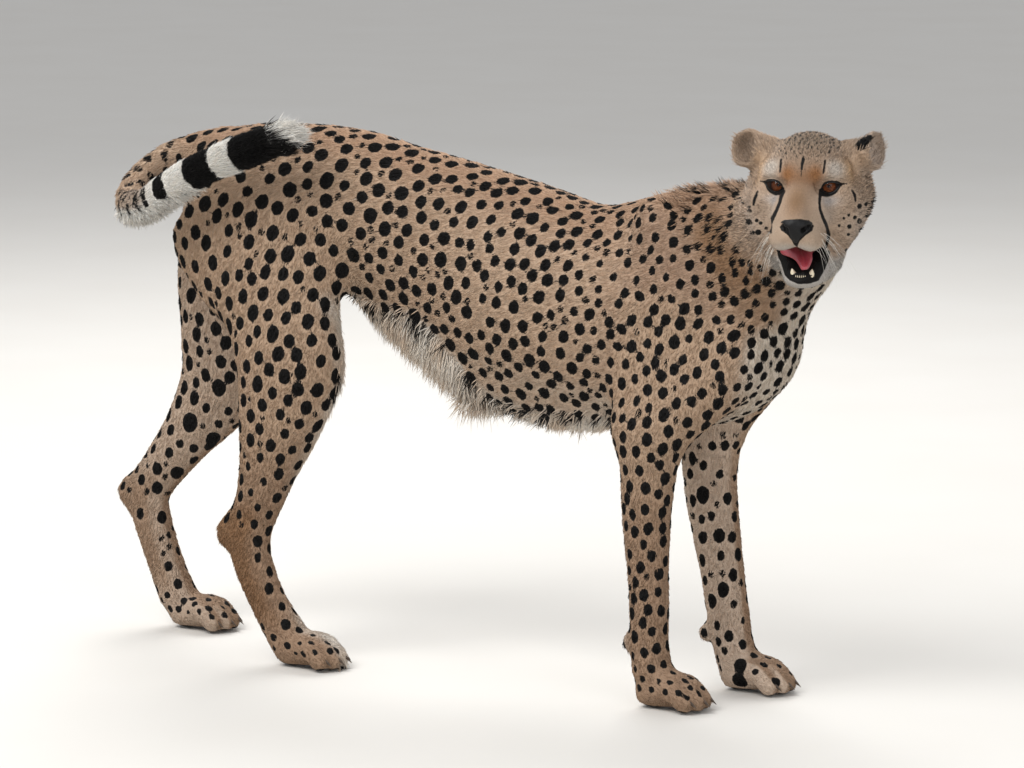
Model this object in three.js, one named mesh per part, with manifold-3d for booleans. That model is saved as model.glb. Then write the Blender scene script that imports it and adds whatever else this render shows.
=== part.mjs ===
// A life-size cheetah, standing with its head turned to its right and its tail curled forward.
// Millimetres, +Z up, +X towards the chest, +Y towards the animal's left, floor at z = 0.
//
// The flesh is one smooth solid field, built from tapered limbs and muscles that blend into each
// other. It is meshed, thinned, and divided by thin cuts into the named pieces.
import * as THREE from "three";
import { mergeVertices } from "three/addons/utils/BufferGeometryUtils.js";
import Module from "manifold-3d";

const wasm = await Module();
wasm.setup();

// ---------------------------------------------------------------- driving sizes

const GAP = 0.3; // between any two pieces that touch
const RIGHT = -1; // the side of the animal that y < 0 is on
const LEFT = 1;
const ANKLE = 64; // height at which a paw is parted from its leg

// The head has its own frame: origin between the eyes, a forward, b to its left, c up.
const HEAD = { origin: [499, -120, 740], turn: -75 };
const EYE = { a: -17, b: 36, c: -3, radius: 17, lid: 2.6, width: 14, height: 9, outwards: 12 };
const JAW_SLIP = 3.5; // the open jaw hangs this far to its left
const EAR = { a: -58, b: 83, c: 38, radius: 26.5, wall: 6 };

// Triangles that each part of the flesh is thinned to, before it is cut.
const DETAIL = { body: 5400, head: 3400, ear: 260, nose: 260, tongue: 120, paw: 330, tail: 480 };

// ---------------------------------------------------------------- field helpers

const lerp = (from, to, t) => from + (to - from) * t;
const clamp = (v, low, high) => Math.min(high, Math.max(low, v));
const rad = THREE.MathUtils.degToRad;

// Joins two fields with a fillet about `soft` millimetres wide.
function blend(d1, d2, soft) {
  const h = Math.max(soft - Math.abs(d1 - d2), 0) / soft;
  return Math.min(d1, d2) - (h * h * soft) / 4;
}

// Takes one field out of another, with a rounded edge.
const carve = (body, tool, soft) => -blend(-body, tool, soft);

// An ellipsoid, turned about its sideways axis by `tilt` degrees, front end down if positive.
function ellipsoid([cx, cy, cz], [rx, ry, rz], tilt = 0) {
  const cos = Math.cos(rad(tilt));
  const sin = Math.sin(rad(tilt));
  const least = Math.min(rx, ry, rz);
  return (x, y, z) => {
    const dx = x - cx;
    const dz = z - cz;
    const u = (dx * cos - dz * sin) / rx;
    const v = (y - cy) / ry;
    const w = (dx * sin + dz * cos) / rz;
    const k0 = Math.hypot(u, v, w);
    const k1 = Math.hypot(u / rx, v / ry, w / rz);
    return k1 < 1e-9 ? -least : (k0 * (k0 - 1)) / k1;
  };
}

// One number of a smooth curve through four, at t between the middle two.
function through(p0, p1, p2, p3, t) {
  const bend = 2 * p0 - 5 * p1 + 4 * p2 - p3 + t * (3 * (p1 - p2) + p3 - p0);
  return p1 + 0.5 * t * (p2 - p0 + t * bend);
}

// Stations [x, y, z, depth, width] along a limb, made smooth and closely spaced.
function smoothStations(stations, step) {
  const at = (i) => stations[clamp(i, 0, stations.length - 1)];
  const line = [];
  for (let i = 0; i + 1 < stations.length; i++) {
    const length = new THREE.Vector3(...at(i)).distanceTo(new THREE.Vector3(...at(i + 1)));
    const count = Math.max(1, Math.round(length / step));
    for (let j = 0; j < count; j++) {
      const four = [at(i - 1), at(i), at(i + 1), at(i + 2)];
      line.push(four[0].map((_, k) => through(...four.map((p) => p[k]), j / count)));
    }
  }
  line.push(at(stations.length - 1));
  return line;
}

// A limb: an ellipse swept through its stations, with round ends. Depth is its half size in the
// plane that the animal is seen in from the side, and width its half size across.
function limb(stations, step = 20) {
  const line = smoothStations(stations, step);
  const segments = line.slice(1).map((end, i) => {
    const start = line[i];
    const axis = [0, 1, 2].map((k) => end[k] - start[k]);
    const square = axis[0] ** 2 + axis[1] ** 2 + axis[2] ** 2;
    return { start, end, axis, square: Math.max(square, 1e-9) };
  });
  const bounds = [0, 1, 2].map((k) => ({
    low: Math.min(...line.map((p) => p[k] - Math.max(p[3], p[4]))),
    high: Math.max(...line.map((p) => p[k] + Math.max(p[3], p[4]))),
  }));
  const beyond = (v, { low, high }) => Math.max(low - v, v - high, 0);
  return (x, y, z) => {
    const away = Math.hypot(beyond(x, bounds[0]), beyond(y, bounds[1]), beyond(z, bounds[2]));
    if (away > 70) return away;
    let best = 1e9;
    for (const { start, end, axis, square } of segments) {
      const px = x - start[0];
      const py = y - start[1];
      const pz = z - start[2];
      const t = clamp((px * axis[0] + py * axis[1] + pz * axis[2]) / square, 0, 1);
      const depth = lerp(start[3], end[3], t);
      const width = lerp(start[4], end[4], t);
      const across = ((py - axis[1] * t) * depth) / width;
      const out = Math.hypot(px - axis[0] * t, across, pz - axis[2] * t) - depth;
      best = Math.min(best, out * (width < depth ? lerp(width / depth, 1, 0.4) : 1));
    }
    return best;
  };
}

// A limb whose stations are [x, z, depth, width] in the plane of one leg.
const legLimb = (y, stations) => limb(stations.map(([x, z, ...size]) => [x, y, z, ...size]));

// ---------------------------------------------------------------- trunk, neck and tail

const trunk = limb([
  [-462, 0, 640, 92, 70],
  [-410, 0, 648, 116, 84],
  [-330, 0, 652, 118, 88],
  [-250, 0, 648, 118, 84],
  [-180, 0, 628, 122, 84],
  [-100, 0, 596, 138, 92],
  [0, 0, 560, 151, 102],
  [90, 0, 537, 150, 106],
  [160, 0, 526, 147, 102],
  [230, 0, 524, 148, 94],
  [290, 0, 520, 142, 84],
  [330, 0, 508, 112, 74],
]);
const withers = limb([
  [196, 0, 640, 36, 26],
  [262, 0, 664, 34, 24],
  [330, 0, 676, 38, 30],
]);
const neck = limb([
  [270, 0, 592, 92, 64],
  [340, -2, 620, 78, 64],
  [402, -16, 654, 70, 64],
  [446, -44, 694, 62, 60],
]);
const throat = limb([
  [350, 0, 512, 68, 58],
  [390, -3, 570, 62, 58],
  [436, -18, 628, 66, 66],
  [462, -50, 680, 58, 62],
]);

// The dense base of the pale hair under the belly.
const keel = limb([
  [-196, 0, 528, 34, 30],
  [-110, 0, 482, 38, 40],
  [-20, 0, 432, 40, 46],
  [70, 0, 402, 36, 46],
  [140, 0, 396, 30, 40],
]);

// The tail leaves the rump backwards, turns down to the right and comes forward beside the hip.
const TAIL = [
  [-470, 0, 722, 31, 31],
  [-514, -4, 719, 28, 28],
  [-552, -20, 704, 26, 26],
  [-577, -52, 677, 25, 25],
  [-566, -96, 650, 25, 26],
  [-520, -128, 655, 26, 27],
  [-472, -141, 682, 27, 28],
  [-422, -146, 709, 28, 29],
  [-370, -147, 731, 29, 30],
  [-324, -147, 748, 29, 30],
  [-290, -146, 760, 25, 26],
];
const tail = limb(TAIL, 16);
const tailRoot = limb(TAIL.slice(0, 3), 16);

// ---------------------------------------------------------------- legs

const FORE = {
  right: {
    side: RIGHT,
    y: -84,
    blade: [278, 600],
    shoulder: [366, 486],
    elbow: [256, 384],
    bone: [
      [258, 372, 47, 35],
      [254, 305, 40, 30],
      [253, 245, 36, 27],
      [256, 180, 31, 25],
      [258, 130, 30, 26],
      [258, 96, 28, 26],
      [262, 56, 29, 28],
    ],
    pad: [229, 88],
  },
  left: {
    side: LEFT,
    y: 74,
    blade: [284, 600],
    shoulder: [370, 486],
    elbow: [274, 384],
    bone: [
      [276, 372, 48, 35],
      [272, 305, 42, 30],
      [281, 232, 38, 27],
      [292, 170, 34, 25],
      [300, 120, 33, 26],
      [306, 84, 31, 26],
      [314, 50, 30, 28],
    ],
    pad: [269, 76],
  },
};

function foreLeg({ side, y, blade, shoulder, elbow, bone, pad }) {
  const [ex, ez] = elbow;
  const shoulderBlade = ellipsoid([blade[0], side * 52, blade[1]], [50, 36, 112], -22);
  const upperArm = limb([
    [shoulder[0], side * 56, shoulder[1], 50, 34],
    [lerp(shoulder[0], ex, 0.5), side * 68, lerp(shoulder[1], ez, 0.5), 54, 34],
    [ex, y, ez, 50, 34],
  ]);
  const triceps = ellipsoid([ex - 2, side * 74, ez + 66], [52, 27, 74], 24);
  const olecranon = ellipsoid([ex - 34, y, ez + 8], [18, 14, 26]);
  const forearm = legLimb(y, bone);
  const carpalPad = ellipsoid([pad[0], y, pad[1]], [15, 11, 13], -30);
  return [
    [shoulderBlade, 20],
    [upperArm, 22],
    [triceps, 20],
    [olecranon, 22],
    [forearm, 20],
    [carpalPad, 14],
  ];
}

const HIND = {
  right: {
    side: RIGHT,
    y: -84,
    thigh: [
      [-392, 640, 104, 48],
      [-350, 552, 100, 50],
      [-314, 462, 84, 46],
    ],
    shank: [
      [-312, 420, 82, 42],
      [-328, 356, 67, 37],
      [-346, 290, 48, 31],
      [-364, 230, 37, 27],
      [-380, 186, 34, 26],
      [-372, 136, 31, 25],
      [-346, 84, 29, 25],
      [-322, 48, 30, 28],
    ],
    heel: [-414, 188],
  },
  left: {
    side: LEFT,
    y: 74,
    thigh: [
      [-432, 632, 104, 48],
      [-480, 540, 104, 50],
      [-496, 450, 86, 46],
    ],
    shank: [
      [-496, 420, 80, 42],
      [-532, 352, 62, 36],
      [-578, 290, 44, 30],
      [-622, 236, 36, 27],
      [-648, 196, 34, 26],
      [-640, 150, 31, 25],
      [-618, 90, 29, 25],
      [-600, 50, 30, 28],
    ],
    heel: [-680, 200],
  },
};

function hindLeg({ side, y, thigh, shank, heel }) {
  const [hip, middle, knee] = thigh;
  const mass = limb([
    [hip[0], side * 44, ...hip.slice(1)],
    [middle[0], side * 62, ...middle.slice(1)],
    [knee[0], y - side * 4, ...knee.slice(1)],
  ]);
  const buttock = ellipsoid([hip[0] - 62, side * 42, hip[1] - 56], [64, 42, 112], -28);
  const [hx, hz] = heel;
  const point = ellipsoid([hx, y, hz - 4], [20, 15, 24], 20);
  const tendon = limb([
    [hx, y, hz, 13, 12],
    [lerp(hx, shank[2][0], 0.5), y, lerp(hz, shank[2][1], 0.5), 12, 8],
    [shank[2][0] - 20, y, shank[2][1], 16, 12],
  ]);
  return [
    [mass, 26],
    [buttock, 30],
    [legLimb(y, shank), 22],
    [point, 18],
    [tendon, 14],
  ];
}

// ---------------------------------------------------------------- paws

const PAWS = {
  paw_fore_right: { x: 286, y: -84 },
  paw_fore_left: { x: 342, y: 70 },
  paw_hind_right: { x: -288, y: -84 },
  paw_hind_left: { x: -562, y: 74 },
};
const TOES = [-26, -9.5, 9.5, 26]; // sideways, from the middle of a paw
const toeReach = (side) => (Math.abs(side) < 15 ? 60 : 48);

// A paw: the heel pad and four toes, pointing along +X.
function paw({ x, y }) {
  const pad = limb([
    [x - 24, y, 21, 22, 26],
    [x + 12, y, 27, 25, 31],
  ]);
  const toes = TOES.map((side) => {
    const reach = toeReach(side);
    return limb(
      [
        [x + 4, y + side * 0.75, 33, 15, 11],
        [x + reach - 26, y + side, 29, 15, 11.5],
        [x + reach - 10, y + side * 1.05, 14, 14, 11],
      ],
      10,
    );
  });
  return (px, py, pz) => toes.reduce((d, toe) => blend(d, toe(px, py, pz), 5), pad(px, py, pz));
}

// ---------------------------------------------------------------- head

const headMatrix = new THREE.Matrix4()
  .makeRotationZ(rad(HEAD.turn))
  .setPosition(...HEAD.origin);
const headPoint = (a, b, c) => new THREE.Vector3(a, b, c).applyMatrix4(headMatrix).toArray();
const headDirection = (a, b, c) =>
  new THREE.Vector3(a, b, c).transformDirection(headMatrix).toArray();

const skull = {
  cranium: [ellipsoid([-62, 0, 5], [62, 59, 57], 8), 1],
  forehead: [ellipsoid([-24, 0, 12], [34, 42, 30], 28), 26],
  bridge: [
    limb([
      [-14, 0, 0, 24, 25],
      [24, 0, -19, 21, 22],
      [56, 0, -40, 16, 18],
    ]),
    16,
  ],
  snout: [
    limb([
      [0, 0, -42, 32, 32],
      [36, 0, -54, 25, 28],
      [56, 0, -61, 17, 22],
    ]),
    16,
  ],
  nose: [ellipsoid([62, 0, -53], [13, 19, 16], 10), 7],
};
// Forms on both sides: each is placed on the left, and both are read through |b|.
const paired = {
  brow: [ellipsoid([-20, 38, 15], [22, 25, 13], 24), 18],
  cheekbone: [ellipsoid([-30, 52, -20], [32, 24, 22], 10), 18],
  maxilla: [ellipsoid([12, 21, -40], [34, 19, 26], 22), 16],
  whiskerPad: [ellipsoid([45, 19.5, -67.5], [24, 19, 18.5], 6), 9],
  jowl: [ellipsoid([-48, 42, -52], [42, 34, 42], 0), 22],
  ruff: [ellipsoid([-66, 55, -20], [30, 36, 44], 0), 22],
  earRoot: [ellipsoid([-62, 60, 36], [18, 22, 20], 0), 14],
};
const jawForms = {
  mandible: [
    limb([
      [-46, 36, -88, 22, 16],
      [-14, 24, -110, 16, 12],
      [24, 13, -122, 13, 11],
      [34, 0, -124, 12, 14],
    ]),
    12,
  ],
  underJaw: [
    limb([
      [-60, 0, -98, 30, 34],
      [-20, 0, -114, 18, 24],
      [20, 0, -124, 12, 15],
    ]),
    14,
  ],
};
const MOUTH = {
  gape: [ellipsoid([32, 0, -99], [50, 24, 17], 30), 4],
  palate: [ellipsoid([0, 0, -84], [36, 19, 13], 22), 7],
};
const NOSTRIL = ellipsoid([73, 12, -53], [9, 4.5, 4], -20);
const NOSTRIL_SLIT = ellipsoid([66, 18, -49], [8, 4, 2.6], -10);
const SOCKET = ellipsoid([EYE.a + 26, EYE.b - 6, EYE.c - 1], [9, 11, 8], 0);
const TONGUE = limb(
  [
    [-24, 0, -88, 9, 15],
    [6, -2, -91, 8, 18],
    [28, -5, -95, 6.5, 18],
    [42, -7, -99, 4, 11],
  ],
  8,
);

// The ears: the animal's right ear opens forwards, its left ear outwards.
const EARS = {
  right: { side: RIGHT, open: [0.8, 0.42, 0.2] },
  left: { side: LEFT, open: [0.3, 0.92, 0.1] },
};

function earCup({ side, open }, scale) {
  const towards = new THREE.Vector3(open[0], side * open[1], open[2]).normalize();
  const centre = new THREE.Vector3(EAR.a, side * EAR.b, EAR.c);
  const round = EAR.radius;
  return (a, b, c) => {
    const p = new THREE.Vector3(a, b, c).sub(centre);
    const along = p.dot(towards);
    const out = Math.sqrt(Math.max(p.lengthSq() - along * along, 0));
    const bowl = Math.hypot(out, along * 1.25) - round;
    const hollow = Math.hypot(out, (along - 6) * 1.2) - (round - EAR.wall);
    return Math.max(bowl, -hollow, along - 9) * scale;
  };
}
const earCups = Object.values(EARS).map((ear) => earCup(ear, 0.9));

function headForm(a, b, c) {
  const s = Math.abs(b);
  let d = 1e3;
  for (const [form, soft] of Object.values(skull)) d = blend(d, form(a, b, c), soft);
  for (const [form, soft] of Object.values(paired)) d = blend(d, form(a, s, c), soft);
  const jawSide = Math.abs(b - JAW_SLIP);
  for (const [form, soft] of Object.values(jawForms)) d = blend(d, form(a, jawSide, c), soft);
  for (const [form, soft] of Object.values(MOUTH))
    d = carve(d, form(a, b - JAW_SLIP / 2, c), soft);
  d = carve(d, NOSTRIL(a, s, c), 2);
  d = carve(d, NOSTRIL_SLIT(a, s, c), 2);
  d = carve(d, SOCKET(a, s, c), 9);
  return earCups.reduce((sum, ear) => blend(sum, ear(a, b, c), 7), d);
}

// The same field, read at a point of the animal's frame.
const toHead = headMatrix.clone().invert().elements;
const inHead = (form) => (x, y, z) =>
  form(
    toHead[0] * x + toHead[4] * y + toHead[12],
    toHead[1] * x + toHead[5] * y + toHead[13],
    z - HEAD.origin[2],
  );
const headField = inHead(headForm);

// ---------------------------------------------------------------- the whole body

const FLESH = [
  [trunk, 1],
  [withers, 40],
  [neck, 44],
  [throat, 40],
  [keel, 30],
  ...Object.values(FORE).flatMap(foreLeg),
  ...Object.values(HIND).flatMap(hindLeg),
  ...Object.values(PAWS).map((at) => [paw(at), 15]),
];
function flesh(x, y, z) {
  let d = 1e3;
  for (const [form, soft] of FLESH) d = blend(d, form(x, y, z), soft);
  const head = Math.hypot(x - 460, y + 80, z - 700) > 260 ? 1e3 : headField(x, y, z);
  d = blend(d, head, 22);
  return blend(d, tailRoot(x, y, z), 26);
}

// ---------------------------------------------------------------- meshing

function solidOf(positions, indices) {
  const vertProperties = new Float32Array(positions);
  const triVerts = new Uint32Array(indices);
  return new wasm.Manifold(new wasm.Mesh({ numProp: 3, vertProperties, triVerts }));
}

// The solid of a three.js geometry, placed by a matrix.
function solidOfGeometry(geometry, matrix = new THREE.Matrix4()) {
  const bare = geometry.clone().applyMatrix4(matrix);
  bare.deleteAttribute("normal");
  bare.deleteAttribute("uv");
  const merged = mergeVertices(bare, 1e-3);
  return solidOf(merged.attributes.position.array, merged.index.array);
}

const CORNERS = [0, 1, 2, 3, 4, 5, 6, 7].map((n) => [n & 1, (n >> 1) & 1, n >> 2]);
const CELL_EDGES = CORNERS.flatMap((_, m) =>
  [1, 2, 4].filter((bit) => !(m & bit)).map((bit) => [m, m | bit]),
);

// Meshes the zero surface of a field inside a box, one vertex in each cell that it crosses.
// `frame` places the box, if it isn't square to the animal.
function meshField(field, { low, high, cell }, frame = new THREE.Matrix4()) {
  const e = frame.elements;
  const place = (u, v, w) => [
    e[0] * u + e[4] * v + e[8] * w + e[12],
    e[1] * u + e[5] * v + e[9] * w + e[13],
    e[2] * u + e[6] * v + e[10] * w + e[14],
  ];
  const [nx, ny, nz] = low.map((from, k) => Math.ceil((high[k] - from) / cell) + 1);
  const index = (i, j, k) => (k * ny + j) * nx + i;
  const grid = function* (ex, ey, ez) {
    for (let k = 0; k < ez; k++)
      for (let j = 0; j < ey; j++) for (let i = 0; i < ex; i++) yield [i, j, k];
  };

  const value = new Float32Array(nx * ny * nz);
  for (const [i, j, k] of grid(nx, ny, nz)) {
    const border = !i || !j || !k || i + 1 === nx || j + 1 === ny || k + 1 === nz;
    const d = field(...place(low[0] + i * cell, low[1] + j * cell, low[2] + k * cell));
    value[index(i, j, k)] = border ? Math.max(cell / 2, d) : d;
  }

  const vertexOf = new Int32Array(nx * ny * nz).fill(-1);
  const positions = [];
  for (const [i, j, k] of grid(nx - 1, ny - 1, nz - 1)) {
    const v = CORNERS.map(([a, b, c]) => value[index(i + a, j + b, k + c)]);
    const crossed = CELL_EDGES.filter(([m, n]) => v[m] < 0 !== v[n] < 0);
    if (!crossed.length) continue;
    const sum = [i, j, k].map((g) => g * crossed.length);
    for (const [m, n] of crossed) {
      const t = v[m] / (v[m] - v[n]);
      for (const q of [0, 1, 2]) sum[q] += lerp(CORNERS[m][q], CORNERS[n][q], t);
    }
    const at = place(...sum.map((s, q) => low[q] + (s / crossed.length) * cell));
    vertexOf[index(i, j, k)] = positions.length / 3;
    positions.push(...settle(field, at, cell * 0.4));
  }

  const indices = [];
  const quad = (a, b, c, d, flip) =>
    flip ? indices.push(a, c, b, a, d, c) : indices.push(a, b, c, a, c, d);
  for (const [i, j, k] of grid(nx - 1, ny - 1, nz - 1)) {
    const inside = value[index(i, j, k)] < 0;
    const at = (a, b, c) => vertexOf[index(i - a, j - b, k - c)];
    if (j && k && inside !== value[index(i + 1, j, k)] < 0)
      quad(at(0, 0, 0), at(0, 1, 0), at(0, 1, 1), at(0, 0, 1), !inside);
    if (i && k && inside !== value[index(i, j + 1, k)] < 0)
      quad(at(0, 0, 0), at(0, 0, 1), at(1, 0, 1), at(1, 0, 0), !inside);
    if (i && j && inside !== value[index(i, j, k + 1)] < 0)
      quad(at(0, 0, 0), at(1, 0, 0), at(1, 1, 0), at(0, 1, 0), !inside);
  }
  return solidOf(positions, indices);
}

// Moves a vertex towards the field's surface, by no more than `most`.
function settle(field, [x, y, z], most) {
  const step = 0.5;
  const d = field(x, y, z);
  const gx = (field(x + step, y, z) - d) / step;
  const gy = (field(x, y + step, z) - d) / step;
  const gz = (field(x, y, z + step) - d) / step;
  const move = clamp(d / Math.max(0.2, gx * gx + gy * gy + gz * gz), -most, most);
  return [x - gx * move, y - gy * move, z - gz * move];
}

// ---------------------------------------------------------------- thinning

// Thins a closed mesh to about `target` triangles. In each round the edges whose collapse changes
// the shape least are collapsed, unless that would fold the surface or pinch it.
function thin(solid, target) {
  const { vertProperties, triVerts } = solid.getMesh();
  const points = [];
  for (let i = 0; i < vertProperties.length; i += 3)
    points.push(new THREE.Vector3().fromArray(vertProperties, i));
  const faces = [];
  const around = points.map(() => new Set());
  for (let i = 0; i < triVerts.length; i += 3) {
    const face = [triVerts[i], triVerts[i + 1], triVerts[i + 2]];
    for (const v of face) around[v].add(face);
    faces.push(face);
  }
  const live = new Set(faces);
  const planes = points.map(() => new Float64Array(10));
  for (const face of faces) {
    const plane = planeOf(...face.map((v) => points[v]));
    for (const v of face) plane.forEach((q, i) => (planes[v][i] += q));
  }

  const rounds = 60;
  for (let round = 0; round < rounds && live.size > target; round++) {
    const choices = [];
    for (const [a, b, c] of live)
      for (const [u, v] of [[a, b], [b, c], [c, a]])
        if (u < v) choices.push(collapseOf(u, v, points, planes));
    choices.sort((p, q) => p.cost - q.cost);
    const touched = new Set();
    const most = Math.ceil(Math.min(live.size * 0.06, (live.size - target) / 2));
    let done = 0;
    for (const { u, v, to } of choices) {
      if (done >= most) break;
      if (touched.has(u) || touched.has(v) || !canCollapse(u, v, to, points, around)) continue;
      touched.add(u).add(v);
      points[u].copy(to);
      planes[v].forEach((q, i) => (planes[u][i] += q));
      for (const face of [...around[v]]) {
        if (face.includes(u)) {
          for (const w of face) around[w].delete(face);
          live.delete(face);
        } else {
          face[face.indexOf(v)] = u;
          around[u].add(face);
        }
      }
      around[v].clear();
      done++;
    }
    if (!done) break;
  }

  const order = new Map();
  const positions = [];
  const indices = [];
  for (const face of live)
    for (const v of face) {
      if (!order.has(v)) {
        order.set(v, order.size);
        positions.push(...points[v].toArray());
      }
      indices.push(order.get(v));
    }
  return solidOf(positions, indices);
}

// The squared distance to a triangle's plane, as ten numbers, weighted by the triangle's area.
function planeOf(p, q, r) {
  const n = new THREE.Vector3().crossVectors(q.clone().sub(p), r.clone().sub(p));
  const area = n.length();
  n.divideScalar(Math.max(area, 1e-12));
  const w = [n.x, n.y, n.z, -n.dot(p)];
  return w.flatMap((a, i) => w.slice(i).map((b) => a * b * area));
}

// Where two joined vertices best meet, and how far that point is from the planes around them.
function collapseOf(u, v, points, planes) {
  const [aa, ab, ac, ad, bb, bc, bd, cc, cd, dd] = planes[u].map((q, i) => q + planes[v][i]);
  const middle = points[u].clone().add(points[v]).multiplyScalar(0.5);
  const hold = (aa + bb + cc) * 2e-3 + 1e-9;
  const to = new THREE.Vector3(
    hold * middle.x - ad,
    hold * middle.y - bd,
    hold * middle.z - cd,
  ).applyMatrix3(
    new THREE.Matrix3(aa + hold, ab, ac, ab, bb + hold, bc, ac, bc, cc + hold).invert(),
  );
  const { x, y, z } = to;
  const flat = aa * x * x + bb * y * y + cc * z * z + dd;
  const rest = ab * x * y + ac * x * z + bc * y * z + ad * x + bd * y + cd * z;
  const length = points[u].distanceToSquared(points[v]);
  return { u, v, to, cost: flat + 2 * rest + length * length * 2e-4 };
}

function canCollapse(u, v, to, points, around) {
  const next = (i) => new Set([...around[i]].flat().filter((w) => w !== i));
  const nextU = next(u);
  const shared = [...next(v)].filter((w) => nextU.has(w));
  const joined = [...around[u]].filter((face) => face.includes(v));
  if (shared.length !== 2 || joined.length !== 2) return false;
  for (const [moved, other] of [[u, v], [v, u]])
    for (const face of around[moved]) {
      if (face.includes(other)) continue;
      const [p, q, r] = face.map((w) => points[w]);
      const [p2, q2, r2] = face.map((w) => (w === moved ? to : points[w]));
      const before = normalOf(p, q, r);
      const after = normalOf(p2, q2, r2);
      const longest = Math.max(p2.distanceTo(q2), q2.distanceTo(r2), r2.distanceTo(p2));
      if (before.dot(after) < 0.35 * before.length() * after.length()) return false;
      if (after.length() < 0.12 * longest * longest) return false;
    }
  return true;
}
const normalOf = (p, q, r) => new THREE.Vector3().crossVectors(q.clone().sub(p), r.clone().sub(p));

// A solid whose surface is moved outwards, to leave room round another piece.
function grown(solid, by) {
  const { vertProperties, triVerts } = solid.getMesh();
  const geometry = new THREE.BufferGeometry()
    .setAttribute("position", new THREE.BufferAttribute(vertProperties, 3))
    .setIndex(new THREE.BufferAttribute(triVerts, 1));
  geometry.computeVertexNormals();
  const normals = geometry.attributes.normal.array;
  return solidOf(vertProperties.map((v, i) => v + normals[i] * by), triVerts);
}

// Only the largest closed surface of a solid.
const largest = (solid) => solid.decompose().sort((a, b) => b.volume() - a.volume())[0];

// ---------------------------------------------------------------- long hair and claws

// A repeatable run of numbers between 0 and 1.
function seeded(seed) {
  let state = seed;
  return () => {
    state = (Math.imul(state, 1664525) + 1013904223) >>> 0;
    return state / 2 ** 32;
  };
}
const chance = seeded(20);
const between = (low, high) => lerp(low, high, chance());

// A flat lock of hair, or a claw. It leaves its root along `way`, with its width along `across`,
// narrows to a point, and its tip is drawn towards `droop`. Its root is sunk below the surface.
function lock({ root, way, across, length, width, thick, sunk, droop }) {
  const forward = new THREE.Vector3(...way).normalize();
  const flat = forward.clone().cross(new THREE.Vector3(...across)).normalize();
  const wide = flat.clone().cross(forward);
  const from = new THREE.Vector3(...root).addScaledVector(forward, -sunk);
  const bend = new THREE.Vector3(...droop);
  const full = length + sunk;
  const at = (t) =>
    from.clone().addScaledVector(forward, full * t).addScaledVector(bend, full * t * t);
  const rings = [[0, 0.8], [0.45, 1], [0.78, 0.6]].flatMap(([t, size]) => [
    at(t).addScaledVector(wide, (width / 2) * size),
    at(t).addScaledVector(flat, (thick / 2) * size),
    at(t).addScaledVector(wide, (-width / 2) * size),
    at(t).addScaledVector(flat, (-thick / 2) * size),
  ]);
  const tip = rings.length;
  const indices = [0, 2, 1, 0, 3, 2];
  for (let side = 0; side < 4; side++) {
    const next = (side + 1) % 4;
    for (const ring of [0, 4]) {
      indices.push(ring + side, ring + next, ring + 4 + next);
      indices.push(ring + side, ring + 4 + next, ring + 4 + side);
    }
    indices.push(8 + side, 8 + next, tip);
  }
  return solidOf([...rings, at(1)].flatMap((p) => p.toArray()), indices);
}

// Where the straight way from a point outside to a point inside meets a field's surface.
function meet(field, outsidePoint, insidePoint) {
  let near = new THREE.Vector3(...outsidePoint);
  let far = new THREE.Vector3(...insidePoint);
  for (let i = 0; i < 16; i++) {
    const middle = near.clone().lerp(far, 0.5);
    if (field(...middle.toArray()) < 0) far = middle;
    else near = middle;
  }
  return near.toArray();
}

// Pale hair under the belly, hanging from the keel, in rows that overlap like tiles.
const FRINGE = { count: 38, from: -204, to: 150, longest: 42, spread: 40 };
function bellyFringe() {
  return Array.from({ length: FRINGE.count }, (_, i) => {
    const t = (i + between(0, 0.8)) / FRINGE.count;
    const x = lerp(FRINGE.from, FRINGE.to, t);
    const row = (i % 3) - 1;
    const y = row * FRINGE.spread * 0.7 + between(-0.3, 0.3) * FRINGE.spread;
    const full = FRINGE.longest * Math.sin(Math.PI * (0.08 + 0.84 * t));
    return lock({
      root: meet(flesh, [x, y, 250], [x, y * 0.4, 560]),
      way: [between(-0.7, -0.3), y * 0.01, -1],
      across: [1, between(-0.5, 0.5), 0],
      length: full * between(0.7, 1.05),
      width: between(27, 35),
      thick: between(8, 12),
      sunk: 16,
      droop: [-0.1, 0, -0.16],
    });
  });
}

// Dark hair that stands up along the nape.
const CREST = { count: 16, from: 236, to: 418 };
function napeCrest() {
  return Array.from({ length: CREST.count }, (_, i) => {
    const t = (i + between(0, 0.7)) / CREST.count;
    const x = lerp(CREST.from, CREST.to, t);
    const y = -40 * t ** 3 + ((i % 3) - 1) * 9 + between(-4, 4);
    return lock({
      root: meet(flesh, [x, y, 900], [x, y, 620]),
      way: [between(-1.2, -0.9), between(-0.15, 0.15), between(0.7, 0.95)],
      across: [0.7, between(-0.6, 0.6), 0.7],
      length: lerp(11, 18, t) * between(0.85, 1.15),
      width: between(11, 14),
      thick: between(5, 7),
      sunk: 12,
      droop: [-0.15, 0, -0.1],
    });
  });
}

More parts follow.
